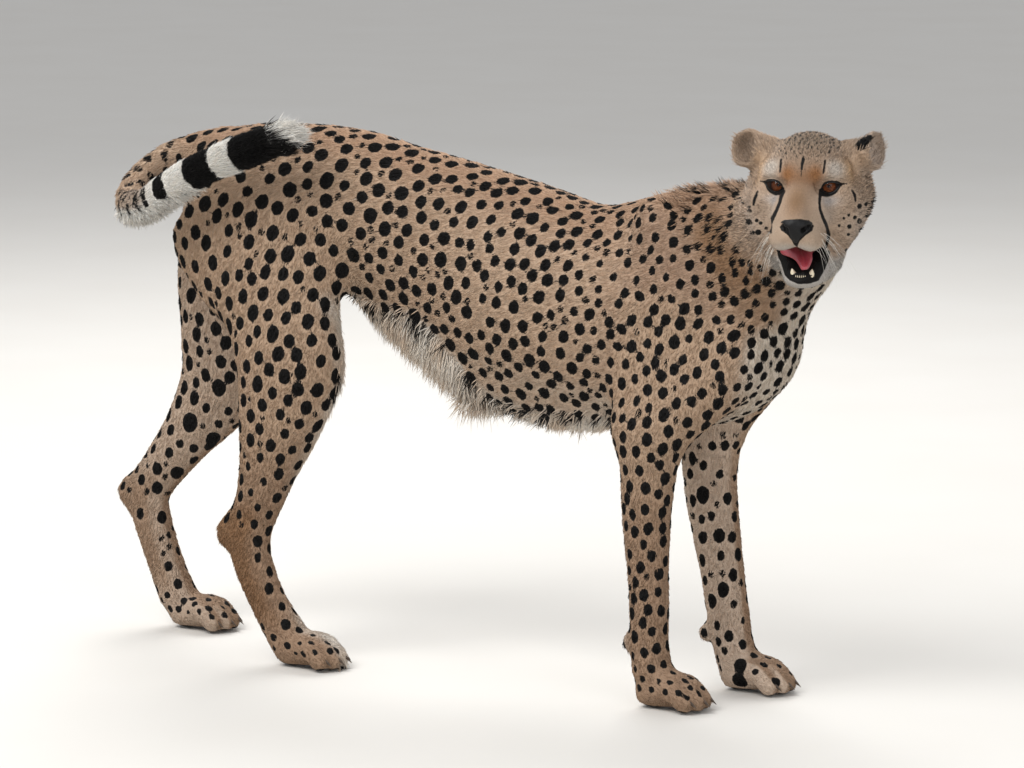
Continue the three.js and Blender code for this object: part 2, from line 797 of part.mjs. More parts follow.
// Hair round the end of the tail, lying along it and past its end.
const TUFT = { count: 20, length: 40 };
function tailTuft() {
  const [x0, y0, z0, depth] = TAIL[TAIL.length - 2];
  const end = TAIL[TAIL.length - 1];
  const along = new THREE.Vector3(end[0] - x0, end[1] - y0, end[2] - z0).normalize();
  const up = new THREE.Vector3(0, 0, 1).cross(along).cross(along).normalize();
  const side = new THREE.Vector3().crossVectors(along, up);
  return Array.from({ length: TUFT.count }, (_, i) => {
    const turn = i * 2.4;
    const outward = up.clone().multiplyScalar(Math.cos(turn)).addScaledVector(side, Math.sin(turn));
    const back = i / TUFT.count;
    const root = new THREE.Vector3(...end.slice(0, 3))
      .addScaledVector(along, lerp(14, -34, back))
      .addScaledVector(outward, depth * lerp(0.3, 0.9, back));
    return lock({
      root: root.toArray(),
      way: along.clone().addScaledVector(outward, lerp(0.12, 0.42, back)).toArray(),
      across: outward.clone().cross(along).toArray(),
      length: TUFT.length * between(0.75, 1.05),
      width: between(17, 21),
      thick: between(7, 9),
      sunk: 16,
      droop: along.clone().multiplyScalar(0.1).toArray(),
    });
  });
}

// Four claws for a paw, each leaving the end of its toe.
const clawsOf = ({ x, y }) =>
  TOES.map((side) =>
    lock({
      root: [x + toeReach(side) + 1, y + side * 1.05, 17],
      way: [1, 0, -0.25],
      across: [0, 1, 0],
      length: 11,
      width: 5.5,
      thick: 6.5,
      sunk: 7,
      droop: [0, 0, -0.25],
    }),
  );

// ---------------------------------------------------------------- cuts

const FAR_OFF = 1000; // longer than any piece

// Everything on the side of a plane that its normal points to, as a large box that starts
// `shift` beyond the plane.
function beyondPlane([point, normal], shift) {
  const n = new THREE.Vector3(...normal).normalize();
  const centre = new THREE.Vector3(...point).addScaledVector(n, FAR_OFF + shift);
  const turn = new THREE.Quaternion().setFromUnitVectors(new THREE.Vector3(0, 0, 1), n);
  const matrix = new THREE.Matrix4().compose(centre, turn, new THREE.Vector3(1, 1, 1));
  return solidOfGeometry(new THREE.BoxGeometry(...Array(3).fill(2 * FAR_OFF)), matrix);
}

// Each region is where several planes all point. A piece inside stops half a gap short of its
// sides, and the piece it is cut from stops half a gap before them.
const headPlane = (point, normal) => [headPoint(...point), headDirection(...normal)];
const REGIONS = {
  head: [headPlane([-96, 0, -60], [0.75, 0, 0.66])],
  jaw: [
    headPlane([8, 0, -91], [-0.6, 0, -0.8]),
    headPlane([-18, 0, 0], [1, 0, 0]),
  ],
  nose: [
    headPlane([58, 0, -50], [1, 0, 0.3]),
    headPlane([60, 0, -44], [0.3, 0, -1]),
    headPlane([0, 20, -51], [0, -0.87, 0.49]),
    headPlane([0, -20, -51], [0, 0.87, 0.49]),
  ],
  earRight: [headPlane([EAR.a, -64, 32], [0.05, -0.75, 0.66])],
  earLeft: [headPlane([EAR.a, 64, 32], [0.05, 0.75, 0.66])],
  neck: [[[352, 0, 600], [0.85, -0.12, 0.52]]],
  chest: [[[-60, 0, 560], [1, 0, -0.15]]],
  rump: [[[-262, 0, 620], [-1, 0, 0]]],
  tail: [[[-524, -6, 716], [-0.92, -0.2, -0.2]]],
  tailMiddle: [
    [[-566, -96, 650], [0.2, -0.95, -0.2]],
    [[-640, 0, 640], [1, 0, 0]],
  ],
  tailTip: [
    [[-420, -146, 709], [0.9, 0, 0.42]],
    [[0, -104, 0], [0, -1, 0]],
  ],
};
for (const [name, side] of [["Right", RIGHT], ["Left", LEFT]]) {
  const midline = [[0, side * 10, 0], [0, side, 0]];
  REGIONS[`legFore${name}`] = [
    midline,
    [[0, side * 34, 410], [0, side, -0.36]],
    [[190, 0, 400], [1, 0, -0.2]],
    [[0, 0, 640], [0.4, 0, -1]],
    [[392, 0, 0], [-1, 0, 0]],
  ];
  REGIONS[`legHind${name}`] = [
    midline,
    [[0, side * 10, 470], [0, side, -0.4]],
    [[-216, 0, 0], [-1, 0, 0]],
  ];
}
const region = (name, shift) =>
  REGIONS[name]
    .map((plane) => beyondPlane(plane, shift))
    .reduce((all, half) => all.intersect(half));
const inside = (solid, name) => solid.intersect(region(name, GAP / 2));
const outside = (solid, name) => solid.subtract(region(name, -GAP / 2));
const FLOOR = beyondPlane([[0, 0, 0], [0, 0, -1]], 0);
const BELOW_ANKLE = (shift) => beyondPlane([[0, 0, ANKLE], [0, 0, -1]], shift);

// ---------------------------------------------------------------- pieces

const matte = (color, roughness = 0.85) =>
  new THREE.MeshStandardMaterial({ color, roughness, metalness: 0 });
const finish = {
  fur: matte(0xc9a27c),
  pale: matte(0xe6dccb),
  eye: matte(0x7a3d16, 0.15),
  nose: matte(0x1a1718, 0.4),
  tongue: matte(0xb5434a, 0.4),
};

const cheetah = new THREE.Group();
cheetah.name = "cheetah";

function addPiece(name, solid, material) {
  const { vertProperties, triVerts } = largest(solid).getMesh();
  const geometry = new THREE.BufferGeometry()
    .setAttribute("position", new THREE.BufferAttribute(vertProperties, 3))
    .setIndex(new THREE.BufferAttribute(triVerts, 1));
  geometry.computeVertexNormals();
  const mesh = new THREE.Mesh(geometry, material);
  mesh.name = name;
  cheetah.add(mesh);
}

const bodyBox = { low: [-770, -190, 20], high: [620, 150, 860], cell: 10 };
const body = thin(meshField(flesh, bodyBox), DETAIL.body);
const withLocks = (solid, locks) => locks.reduce((sum, hair) => sum.add(hair), solid);
const headBox = { low: [-150, -112, -165], high: [92, 112, 84], cell: 5 };
const headBlock = thin(meshField(flesh, headBox, headMatrix), DETAIL.head);

// Head: the eyes sit under rounded lids, which are open in the shape of an almond.
const eyeMatrix = (side) =>
  headMatrix
    .clone()
    .multiply(new THREE.Matrix4().makeTranslation(EYE.a, side * EYE.b, EYE.c))
    .multiply(new THREE.Matrix4().makeRotationZ(side * rad(EYE.outwards)));
const eyeball = (side, grow) =>
  solidOfGeometry(
    new THREE.SphereGeometry(EYE.radius + grow, 14, 9).rotateZ(Math.PI / 2),
    eyeMatrix(side),
  );

// The opening between the lids, pushed out forwards. Its outer corner is the higher one.
function eyeOpening(side) {
  const { width, height, radius } = EYE;
  const w = side * width; // outwards
  const almond = new THREE.Shape();
  almond.moveTo(-w, -0.45 * height);
  almond.quadraticCurveTo(-0.5 * w, 1.1 * height, 0.3 * w, 0.95 * height);
  almond.quadraticCurveTo(0.8 * w, 0.8 * height, w, 0.4 * height);
  almond.quadraticCurveTo(0.6 * w, -0.95 * height, -0.1 * w, -height);
  almond.quadraticCurveTo(-0.7 * w, -0.95 * height, -w, -0.45 * height);
  const options = { depth: radius + 14, bevelEnabled: false, curveSegments: 3 };
  const prism = new THREE.ExtrudeGeometry(almond, options);
  // The shape's x is turned to the animal's left, its y up, and its depth forwards.
  const axes = new THREE.Matrix4().makeBasis(
    new THREE.Vector3(0, 1, 0),
    new THREE.Vector3(0, 0, 1),
    new THREE.Vector3(1, 0, 0),
  );
  return solidOfGeometry(prism, eyeMatrix(side).multiply(axes));
}

// A tapered cone, leaning from its root to its tip, both in the head's frame.
function tooth(root, tip, radius) {
  const from = new THREE.Vector3(...headPoint(...root));
  const to = new THREE.Vector3(...headPoint(...tip));
  const axis = to.clone().sub(from);
  const turn = new THREE.Quaternion().setFromUnitVectors(
    new THREE.Vector3(0, 1, 0),
    axis.clone().normalize(),
  );
  const matrix = new THREE.Matrix4().compose(
    from.lerp(to, 0.5),
    turn,
    new THREE.Vector3(1, 1, 1),
  );
  return solidOfGeometry(new THREE.CylinderGeometry(0.7, radius, axis.length(), 6), matrix);
}

const tongueBox = { low: [-38, -28, -108], high: [56, 22, -74], cell: 4 };
const tongue = thin(meshField(inHead(TONGUE), tongueBox, headMatrix), DETAIL.tongue);
let head = outside(outside(inside(headBlock, "head"), "jaw"), "nose");
head = outside(outside(head, "earRight"), "earLeft").subtract(grown(tongue, 0.4));
for (const side of [RIGHT, LEFT])
  head = head
    .add(eyeball(side, EYE.lid))
    .subtract(eyeOpening(side))
    .subtract(eyeball(side, GAP + 0.1));
addPiece("head", head, finish.fur);

let jaw = inside(headBlock, "jaw").subtract(grown(tongue, 0.4));
for (const side of [RIGHT, LEFT]) {
  const root = [28, JAW_SLIP + side * 11, -125];
  jaw = jaw.add(tooth(root, [33, JAW_SLIP + side * 12.5, -106], 4.6));
}
for (const place of [-2.5, -1.5, -0.5, 0.5, 1.5, 2.5]) {
  const b = JAW_SLIP + place * 2.6;
  jaw = jaw.add(tooth([33, b, -124], [37, b, -112], 1.9));
}
addPiece("jaw", jaw, finish.pale);
addPiece("tongue", tongue, finish.tongue);

const noseBox = { low: [50, -26, -84], high: [84, 26, -28], cell: 2.8 };
const noseBlock = thin(meshField(flesh, noseBox, headMatrix), DETAIL.nose);
addPiece("nose", inside(noseBlock, "nose"), finish.nose);

for (const [name, { side }] of Object.entries(EARS)) {
  const earBox = {
    low: [EAR.a - 36, side * EAR.b - 36, EAR.c - 38],
    high: [EAR.a + 36, side * EAR.b + 36, EAR.c + 38],
    cell: 3.8,
  };
  const block = thin(meshField(flesh, earBox, headMatrix), DETAIL.ear);
  addPiece(`ear_${name}`, inside(block, side === LEFT ? "earLeft" : "earRight"), finish.fur);
  addPiece(`eye_${name}`, eyeball(side, 0), finish.eye);
}

// Trunk.
let torso = withLocks(body, [...bellyFringe(), ...napeCrest()]);
torso = outside(outside(torso, "head"), "tail");
for (const name of ["Right", "Left"])
  torso = outside(outside(torso, `legFore${name}`), `legHind${name}`);
addPiece("neck", inside(torso, "neck"), finish.fur);
torso = outside(torso, "neck");
addPiece("chest", inside(torso, "chest"), finish.fur);
torso = outside(torso, "chest");
addPiece("rump", inside(torso, "rump"), finish.fur);
addPiece("loin", outside(torso, "rump"), finish.fur);

// Legs and paws.
for (const name of ["Right", "Left"])
  for (const kind of ["Fore", "Hind"]) {
    const leg = inside(body, `leg${kind}${name}`).subtract(BELOW_ANKLE(-GAP / 2));
    const label = `${kind}_${name}`.toLowerCase();
    addPiece(`leg_${label}`, leg, finish.fur);
    const { x, y } = PAWS[`paw_${label}`];
    const pawBox = { low: [x - 92, y - 52, -14], high: [x + 78, y + 52, 80], cell: 6 };
    const block = withLocks(thin(meshField(flesh, pawBox), DETAIL.paw), clawsOf({ x, y }));
    const foot = block.subtract(FLOOR).intersect(BELOW_ANKLE(GAP / 2));
    addPiece(`paw_${label}`, foot, finish.pale);
  }

// Tail, in three lengths.
const tailBox = { low: [-640, -200, 590], high: [-240, 60, 820], cell: 9 };
const tailBlock = withLocks(thin(meshField(tail, tailBox), DETAIL.tail), tailTuft());
const tailBase = outside(outside(inside(tailBlock, "tail"), "tailMiddle"), "tailTip");
addPiece("tail_base", tailBase, finish.fur);
addPiece("tail_middle", outside(inside(tailBlock, "tailMiddle"), "tailTip"), finish.fur);
addPiece("tail_tip", inside(tailBlock, "tailTip"), finish.pale);

// The origin is on the floor, under the middle of the whole animal.
const middle = new THREE.Box3().setFromObject(cheetah).getCenter(new THREE.Vector3());
for (const { geometry } of cheetah.children) geometry.translate(-middle.x, -middle.y, 0);

export default cheetah;
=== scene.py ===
"""A life-size cheetah, standing with its head turned to its right and its tail curled forward.

One skin is made from the CAD flesh and lies inside it by the depth of the coat. The coat is solid
tufts of hair that grow from the skin along the lie of the fur. Metres, +Z up, +X towards the
chest, +Y towards the animal's left.
"""
import math

import bmesh
import bpy
import numpy as np
from mathutils import Matrix, Vector
from mathutils.bvhtree import BVHTree
from mathutils.kdtree import KDTree


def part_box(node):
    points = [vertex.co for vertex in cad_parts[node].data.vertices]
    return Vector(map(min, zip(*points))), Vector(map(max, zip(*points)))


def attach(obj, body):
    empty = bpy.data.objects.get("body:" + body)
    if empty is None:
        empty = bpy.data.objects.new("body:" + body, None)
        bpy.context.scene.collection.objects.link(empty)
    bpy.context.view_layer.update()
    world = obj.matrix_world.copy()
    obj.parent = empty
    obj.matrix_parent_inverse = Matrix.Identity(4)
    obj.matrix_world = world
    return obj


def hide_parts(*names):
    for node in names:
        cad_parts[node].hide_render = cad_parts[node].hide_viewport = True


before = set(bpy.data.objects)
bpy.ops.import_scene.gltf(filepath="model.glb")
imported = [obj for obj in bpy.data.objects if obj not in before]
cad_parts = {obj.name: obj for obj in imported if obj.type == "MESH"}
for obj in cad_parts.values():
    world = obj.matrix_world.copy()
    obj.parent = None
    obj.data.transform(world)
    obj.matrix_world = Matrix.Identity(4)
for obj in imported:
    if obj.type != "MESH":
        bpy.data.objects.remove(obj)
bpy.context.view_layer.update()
chance = np.random.default_rng(11)

# ------------------------------------------------------------------ sizes

MM = 0.001
RIGHT = -1  # the side of the animal that y < 0 is on
LEFT = 1
SIDES = {RIGHT: "right", LEFT: "left"}
MIDLINE = 0.0377  # y of the plane between the animal's two sides
BEYOND = 60.0  # a distance in millimetres at which no mark is felt

EYE_RADIUS = 17.0
EYE_OUTWARDS = math.radians(12)  # each eye's opening faces this far outwards
LID = 1.8  # how far the lids stand off the eyeball
LID_REACH = 26  # the lids end this far from the middle of the eye
SINK = 6.5  # the skin between the lids lies this deep, behind the dish of the iris
JAW_SLIP = 3.5  # the open jaw hangs this far to its left

# Each part's coat. Millimetres, except lift in degrees and tufts per square centimetre.
# skin: how far the skin lies inside the tips. gap and spot: between spots, and a spot's radius.
EAR = dict(skin=0.9, length=6.5, width=0.7, lift=10, tufts=50, gap=9, spot=2.0)
BODY = dict(skin=4.0, length=10, width=1.4, lift=8, tufts=20, gap=23, spot=10.4)
FORELEG = dict(skin=2.4, length=8.5, width=1.25, lift=8, tufts=20, gap=18, spot=7.9)
HINDLEG = dict(skin=2.8, length=9.5, width=1.3, lift=8, tufts=19, gap=23, spot=10.4)
PAW = dict(skin=1.4, length=6, width=0.95, lift=9, tufts=30, gap=15.5, spot=5.2)
COAT = {
    "head": dict(skin=1.6, length=4.6, width=0.78, lift=9, tufts=60, gap=9, spot=2.0),
    "jaw": dict(skin=1.4, length=4.6, width=0.78, lift=11, tufts=56, gap=12, spot=2.0),
    "nose": dict(skin=0.8, length=3.0, width=0.6, lift=10, tufts=55, gap=12, spot=2.0),
    "ear_right": EAR, "ear_left": EAR,
    "neck": dict(skin=5.0, length=11, width=1.35, lift=11, tufts=23, gap=16, spot=7.0),
    "chest": {**BODY, "gap": 20, "spot": 9.0}, "loin": BODY, "rump": BODY,
    "leg_fore_right": FORELEG, "leg_fore_left": FORELEG,
    "leg_hind_right": HINDLEG, "leg_hind_left": HINDLEG,
    "paw_fore_right": PAW, "paw_fore_left": PAW, "paw_hind_right": PAW, "paw_hind_left": PAW,
    "tail_base": dict(skin=4.0, length=11, width=1.3, lift=11, tufts=21, gap=19, spot=9.4),
    "tail_middle": dict(skin=5.0, length=12, width=1.4, lift=12, tufts=21, gap=19, spot=9.6),
    "tail_tip": dict(skin=7.0, length=15, width=1.3, lift=14, tufts=26, gap=24, spot=8.0),
}
PARTS = list(COAT)

# Sandy and tawny hair with black marks, pale below, as on a savannah cat in daylight.
SAND = "#c2a78e"
FAWN = "#b3987f"
TAWNY = "#9b7a5c"
SHOULDER = "#a98b75"
BACK = "#b5957b"
LEG = "#b2977e"
LOWER_LEG = "#a1856d"
# INNER_LEG: the pale cream of the legs' inner sides, darkened by painted shade between the legs.
INNER_LEG = "#c0aa96"
INNER_FORELEG = "#cbb5a1"
CANNON = "#8d6b4d"
CREAM = "#d3c6b6"
BELLY_HAIR = "#cbb9a6"
PALE_HAIR = "#dcd3c7"
TAIL_GREY = "#b9a898"
WHITE = "#e6e2da"
BLACK = "#090706"
BROWN = "#664832"
FACE = "#b29a84"
# CHIN: the white chin, greyed by painted shade under the jaw.
CHIN = "#aea8a1"
# The left ear's hollow, painted pale as painted light.
EAR_HOLLOW_PAINTED_LIGHT = "#cbb8a8"
EAR_BACK = "#2a211c"
# MOUTH: dark red flesh inside the mouth, painted near black as painted shade in its depth.
MOUTH = "#1a0d0d"

# ------------------------------------------------------------------ small helpers


def paint(code):
    """A colour written in sRGB hex, as linear red, green and blue."""
    c = np.array([int(code[i:i + 2], 16) for i in (1, 3, 5)]) / 255
    return np.where(c <= 0.04045, c / 12.92, ((c + 0.055) / 1.055) ** 2.4)


def ramp(low, high, value):
    """0 at low, 1 at high, and smooth between."""
    t = np.clip((value - low) / (high - low), 0, 1)
    return t * t * (3 - 2 * t)


def unit(v):
    return v / np.maximum(np.linalg.norm(v, axis=-1, keepdims=True), 1e-12)


def dot(a, b):
    return np.sum(a * b, axis=-1)


def blend(a, b, share):
    """a where share is 0, b where it is 1."""
    share = np.asarray(share)
    return a + (b - a) * (share[..., None] if np.ndim(a + b) > np.ndim(share) else share)


def ripple(points, wavelength, seed):
    """Smooth noise from about -1 to 1 with bumps about a wavelength apart, in metres."""
    waves = np.random.default_rng(seed)
    total = np.zeros(len(points))
    for _ in range(9):
        way = unit(waves.normal(size=3)) * math.tau / wavelength * waves.uniform(0.55, 1.2)
        total += np.sin(points @ way + waves.uniform(0, math.tau))
    return total / 4.5


def new_object(name, mesh):
    ob = bpy.data.objects.new(name, mesh)
    bpy.context.scene.collection.objects.link(ob)
    return ob


def read(items, what, width, kind=np.float32):
    """One property of a mesh's vertices, edges or corners, as the rows of an array."""
    flat = np.empty(len(items) * width, kind)
    items.foreach_get(what, flat)
    return flat.reshape(-1, width)


def store(items, what, values):
    items.foreach_set(what, np.asarray(values, np.float32).ravel())


def points_of(mesh):
    return read(mesh.vertices, "co", 3).astype(float)


def normals_of(mesh):
    return read(mesh.vertices, "normal", 3).astype(float)


def edges_of(mesh):
    return read(mesh.edges, "vertices", 2, np.int32)


def corners_of(mesh):
    """The three vertices of each triangle of a mesh that has only triangles."""
    return read(mesh.loops, "vertex_index", 1, np.int32).reshape(-1, 3)


def move_points(mesh, points):
    store(mesh.vertices, "co", points)
    mesh.update()


def shade_smooth(mesh):
    mesh.polygons.foreach_set("use_smooth", np.ones(len(mesh.polygons), bool))


def spread(values, edges, rounds, share=0.5):
    """Evens out numbers held at the vertices, by repeated averaging with their neighbours."""
    flat = values.reshape(len(values), -1).astype(float)
    a, b = edges.T
    count = np.maximum(np.bincount(a, minlength=len(flat)) + np.bincount(b, minlength=len(flat)), 1)
    for _ in range(rounds):
        for k in range(flat.shape[1]):
            column = flat[:, k]
            total = np.bincount(a, column[b], len(flat)) + np.bincount(b, column[a], len(flat))
            flat[:, k] = column * (1 - share) + share * total / count
    return flat.reshape(values.shape)


def tree_of(points):
    tree = KDTree(len(points))
    for i, p in enumerate(points):
        tree.insert(p, i)
    tree.balance()
    return tree


def settle(ob):
    """Makes an object's modifiers part of its mesh."""
    shown = ob.evaluated_get(bpy.context.evaluated_depsgraph_get())
    mesh = bpy.data.meshes.new_from_object(shown)
    ob.modifiers.clear()
    ob.data = mesh


def remesh(ob, size):
    grid = ob.modifiers.new("grid", "REMESH")
    grid.mode = "VOXEL"
    grid.voxel_size = size
    settle(ob)


def swollen_copy(name, nodes, swell, grid):
    """A copy of CAD nodes as one closed surface, moved out by the swell and laid on a grid."""
    bm = bmesh.new()
    for node in nodes:
        bm.from_mesh(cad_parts[node].data)
    bmesh.ops.remove_doubles(bm, verts=bm.verts, dist=1e-5)
    bm.normal_update()
    for v in bm.verts:
        v.co += v.normal * swell
    mesh = bpy.data.meshes.new(name)
    bm.to_mesh(mesh)
    bm.free()
    ob = new_object(name, mesh)
    remesh(ob, grid)
    return ob


def soften(ob, rounds, group=""):
    """Rounds a mesh off, within a vertex group where one is named."""
    soft = ob.modifiers.new("soft", "SMOOTH")
    soft.factor = 0.5
    soft.iterations = rounds
    soft.vertex_group = group
    settle(ob)


def weigh(ob, name, weights, steps=20):
    """A vertex group with the given weights, in even steps."""
    group = ob.vertex_groups.new(name=name)
    level = np.round(np.clip(weights, 0, 1) * steps).astype(int)
    for k in range(1, steps + 1):
        group.add(np.nonzero(level == k)[0].tolist(), k / steps, "REPLACE")


# ------------------------------------------------------------------ the head's own frame

# Origin between the eyes and a little in front of them, a forward, b to its left, c up.
eye_middle = {side: sum(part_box(f"eye_{word}"), Vector()) / 2 for side, word in SIDES.items()}
LEFTWARD = np.array((eye_middle[LEFT] - eye_middle[RIGHT]).normalized())
UPWARD = np.array([0.0, 0.0, 1.0])
FORWARD = np.cross(LEFTWARD, UPWARD)
HEAD_AXES = np.stack([FORWARD, LEFTWARD, UPWARD])
HEAD = np.array(eye_middle[LEFT] + eye_middle[RIGHT]) / 2 + MM * (17 * FORWARD + 3 * UPWARD)


def in_head(points):
    """Points in metres, as millimetres in the head's frame."""
    return (points - HEAD) @ HEAD_AXES.T / MM


def from_head(abc):
    return HEAD + MM * np.asarray(abc, float) @ HEAD_AXES


HEAD_MIDDLE = from_head([-36, 0, -24])

# The tail's middle line, from the rump to its end.
TAIL = np.array([
    [-0.407, 0.038, 0.722],
    [-0.451, 0.034, 0.719],
    [-0.489, 0.018, 0.704],
    [-0.514, -0.014, 0.677],
    [-0.503, -0.058, 0.650],
    [-0.457, -0.090, 0.655],
    [-0.409, -0.103, 0.682],
    [-0.359, -0.108, 0.709],
    [-0.307, -0.109, 0.731],
    [-0.261, -0.109, 0.748],
    [-0.227, -0.108, 0.760],
    [-0.153, -0.105, 0.784],
])
TAIL_END = TAIL[-2]
TAIL_AT = np.concatenate([[0], np.cumsum(np.linalg.norm(np.diff(TAIL, axis=0), axis=1))])


def along_tail(points):
    """How far along the tail each point is and how far from its line, and the tail's way there."""
    best = np.full(len(points), 9.0)
    place = np.zeros(len(points))
    way = np.zeros((len(points), 3))
    for i in range(len(TAIL) - 1):
        step = TAIL[i + 1] - TAIL[i]
        t = np.clip((points - TAIL[i]) @ step / (step @ step), 0, 1)
        off = np.linalg.norm(points - TAIL[i] - t[:, None] * step, axis=1)
        near = off < best
        best = np.where(near, off, best)
        place = np.where(near, TAIL_AT[i] + t * np.linalg.norm(step), place)
        way[near] = step / np.linalg.norm(step)
    return place, best, way


# ------------------------------------------------------------------ the skin

VOXEL = 0.0024
SEAM = 0.0003  # swelling by this much closes the cuts between the CAD solids
LOCK_THICKNESS = 0.016  # locks of the CAD flesh are thinner than this
CLAW_THICKNESS = 0.0085
CLAW_TOP = 0.035  # the claws lie below this height
SOLE = 0.006  # the bare soles lie below this height
SKIN_RATIO = 0.115  # the share of the skin's triangles that is kept
LONGEST_EDGE = 0.012


def where_hair_is(points):
    """Where the CAD flesh has locks or claws: under the belly, on the nape, tail end and toes."""
    x, y, z = points.T
    belly = (x > -0.20) & (x < 0.25) & (z < 0.545) & (z > 0.30) & (abs(y - MIDLINE) < 0.075)
    nape = (x > 0.25) & (x < 0.52) & (z > 0.655) & (points @ FORWARD < HEAD @ FORWARD - 0.085)
    tip = np.linalg.norm(points - TAIL_END, axis=1) < 0.11
    return belly | nape | tip | ((z < 0.032) & (x > -0.6))


def shave(ob):
    """Takes the locks and claws off, so that the hair of the coat can take their place."""
    mesh = ob.data
    points, normals, edges = points_of(mesh), normals_of(mesh), edges_of(mesh)
    zone = where_hair_is(points)
    tree = BVHTree.FromObject(ob, bpy.context.evaluated_depsgraph_get())
    thickest = np.where(points[:, 2] < CLAW_TOP, CLAW_THICKNESS, LOCK_THICKNESS)
    hair = np.zeros(len(points), bool)
    for i in np.nonzero(zone)[0]:
        start = Vector(points[i] - normals[i] * 0.0006)
        hair[i] = tree.ray_cast(start, Vector(-normals[i]), thickest[i])[0] is not None
    a, b = edges.T
    for _ in range(3):
        touched = np.bincount(a, hair[b], len(hair)) + np.bincount(b, hair[a], len(hair))
        hair |= (touched > 0) & zone
    kept = np.nonzero(~hair & (spread(zone.astype(float), edges, 4) > 0))[0]
    near = tree_of(points[kept])
    for i in np.nonzero(hair)[0]:
        points[i] = near.find(points[i])[0]
    move_points(mesh, points)
    remesh(ob, VOXEL)


def smooth(ob):
    """Rounds the facets off: most on the trunk, little on the head and paws."""
    points = points_of(ob.data)
    z = points[:, 2]
    far = np.linalg.norm(points - HEAD_MIDDLE, axis=1)
    _, off_tail, _ = along_tail(points)
    weight = blend(0.22, 1.0, ramp(0.33, 0.46, z))
    weight = blend(weight, 0.2, ramp(0.055, 0.035, off_tail))
    weight = blend(weight, 0.06, ramp(0.10, 0.05, z))
    weight = blend(weight, 0.06, ramp(0.17, 0.115, far))
    weigh(ob, "soft", weight)
    soften(ob, 100, "soft")
    ob.vertex_groups.clear()


def coarsen(ob, ratio):
    """Thins the mesh everywhere but on the face, whose detail is finer."""
    a, b, c = in_head(points_of(ob.data)).T
    face = (a > -42) & (abs(b) < 74) & (c > -146) & (c < 34)
    weigh(ob, "body", (~face).astype(float))
    thin = ob.modifiers.new("thin", "DECIMATE")
    thin.ratio = ratio
    thin.vertex_group = "body"
    thin.use_collapse_triangulate = True
    settle(ob)
    ob.vertex_groups.clear()


def split(bm, edges, fill=False):
    """Halves some edges and makes triangles of what that leaves."""
    bmesh.ops.subdivide_edges(bm, edges=edges, cuts=1, use_grid_fill=fill)
    bmesh.ops.triangulate(bm, faces=[f for f in bm.faces if len(f.verts) > 3])


def split_long_edges(ob, longest):
    """Cuts the long thin triangles of flat places, so that marks keep their outlines there."""
    bm = bmesh.new()
    bm.from_mesh(ob.data)
    for _ in range(2):
        split(bm, [e for e in bm.edges if e.calc_length() > longest])
    bm.to_mesh(ob.data)
    bm.free()


def keep_largest(bm):
    """Drops every loose scrap of a mesh but the largest."""
    bm.verts.ensure_lookup_table()
    group = [-1] * len(bm.verts)
    sizes = []
    for seed in bm.verts:
        if group[seed.index] >= 0:
            continue
        stack = [seed]
        group[seed.index] = len(sizes)
        count = 0
        while stack:
            count += 1
            for edge in stack.pop().link_edges:
                for v in edge.verts:
                    if group[v.index] < 0:
                        group[v.index] = len(sizes)
                        stack.append(v)
        sizes.append(count)
    largest = sizes.index(max(sizes))
    loose = [v for v in bm.verts if group[v.index] != largest]
    bmesh.ops.delete(bm, geom=loose, context="VERTS")


def refine_face(ob):
    """Splits the triangles round the eyes, nose and mouth, where lids and lips are formed."""
    bm = bmesh.new()
    bm.from_mesh(ob.data)
    keep_largest(bm)
    a, b, c = in_head(np.array([v.co for v in bm.verts])).T
    face = (a > -24) & (abs(b) < 58) & (c > -134) & (c < 16)
    bm.verts.ensure_lookup_table()
    split(bm, [e for e in bm.edges if face[e.verts[0].index] and face[e.verts[1].index]], True)
    bm.to_mesh(ob.data)
    bm.free()


def part_labels(points):
    """The index in PARTS of the CAD node nearest to each point."""
    verts = []
    faces = []
    owner = []
    for k, name in enumerate(PARTS):
        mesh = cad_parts[name].data
        start = len(verts)
        verts += [v.co.copy() for v in mesh.vertices]
        faces += [[start + i for i in p.vertices] for p in mesh.polygons]
        owner += [k] * len(mesh.polygons)
    tree = BVHTree.FromPolygons(verts, faces)
    return np.array([owner[tree.find_nearest(p)[2]] for p in points.tolist()])


def share_of(share, *words):
    """The summed shares of the parts whose names start with any of the words."""
    mine = [k for k, name in enumerate(PARTS) if name.startswith(words)]
    return share[:, mine].sum(axis=1)


class Skin:
    """The skin's mesh, and what is known at each of its vertices."""

    def __init__(self, ob):
        self.ob = ob
        self.read()
        self.part = part_labels(self.points)
        share = np.zeros((len(self.points), len(PARTS)))
        share[np.arange(len(self.points)), self.part] = 1
        self.share = spread(share, self.edges, 14)

    def read(self):
        mesh = self.ob.data
        self.points = points_of(mesh)
        self.normals = normals_of(mesh)
        self.edges = edges_of(mesh)

    def move(self, points):
        move_points(self.ob.data, points)
        self.read()

    def each(self, what):
        """A size of the coat at every vertex, passing smoothly from part to part."""
        return self.share @ np.array([COAT[name][what] for name in PARTS], float)

    def of(self, *words):
        """How far each vertex belongs to the parts whose names start with any of the words."""
        return share_of(self.share, *words)


def ellipsoid(points, middle, radii, tilt):
    """Distance to an ellipsoid turned about its sideways axis, front end down."""
    turn = math.radians(tilt)
    d = points - middle
    u = (d[:, 0] * math.cos(turn) - d[:, 2] * math.sin(turn)) / radii[0]
    v = d[:, 1] / radii[1]
    w = (d[:, 0] * math.sin(turn) + d[:, 2] * math.cos(turn)) / radii[2]
    k0 = np.sqrt(u * u + v * v + w * w)
    k1 = np.sqrt((u / radii[0]) ** 2 + (v / radii[1]) ** 2 + (w / radii[2]) ** 2)
    return np.where(k1 < 1e-9, -min(radii), k0 * (k0 - 1) / np.maximum(k1, 1e-9))


# The open mouth is cut by two ellipsoids: middle, radii and tilt.
GAPE = (np.array([32, JAW_SLIP / 2, -99]), (50, 24, 17), 30)
PALATE = (np.array([0, JAW_SLIP / 2, -84]), (36, 19, 13), 22)


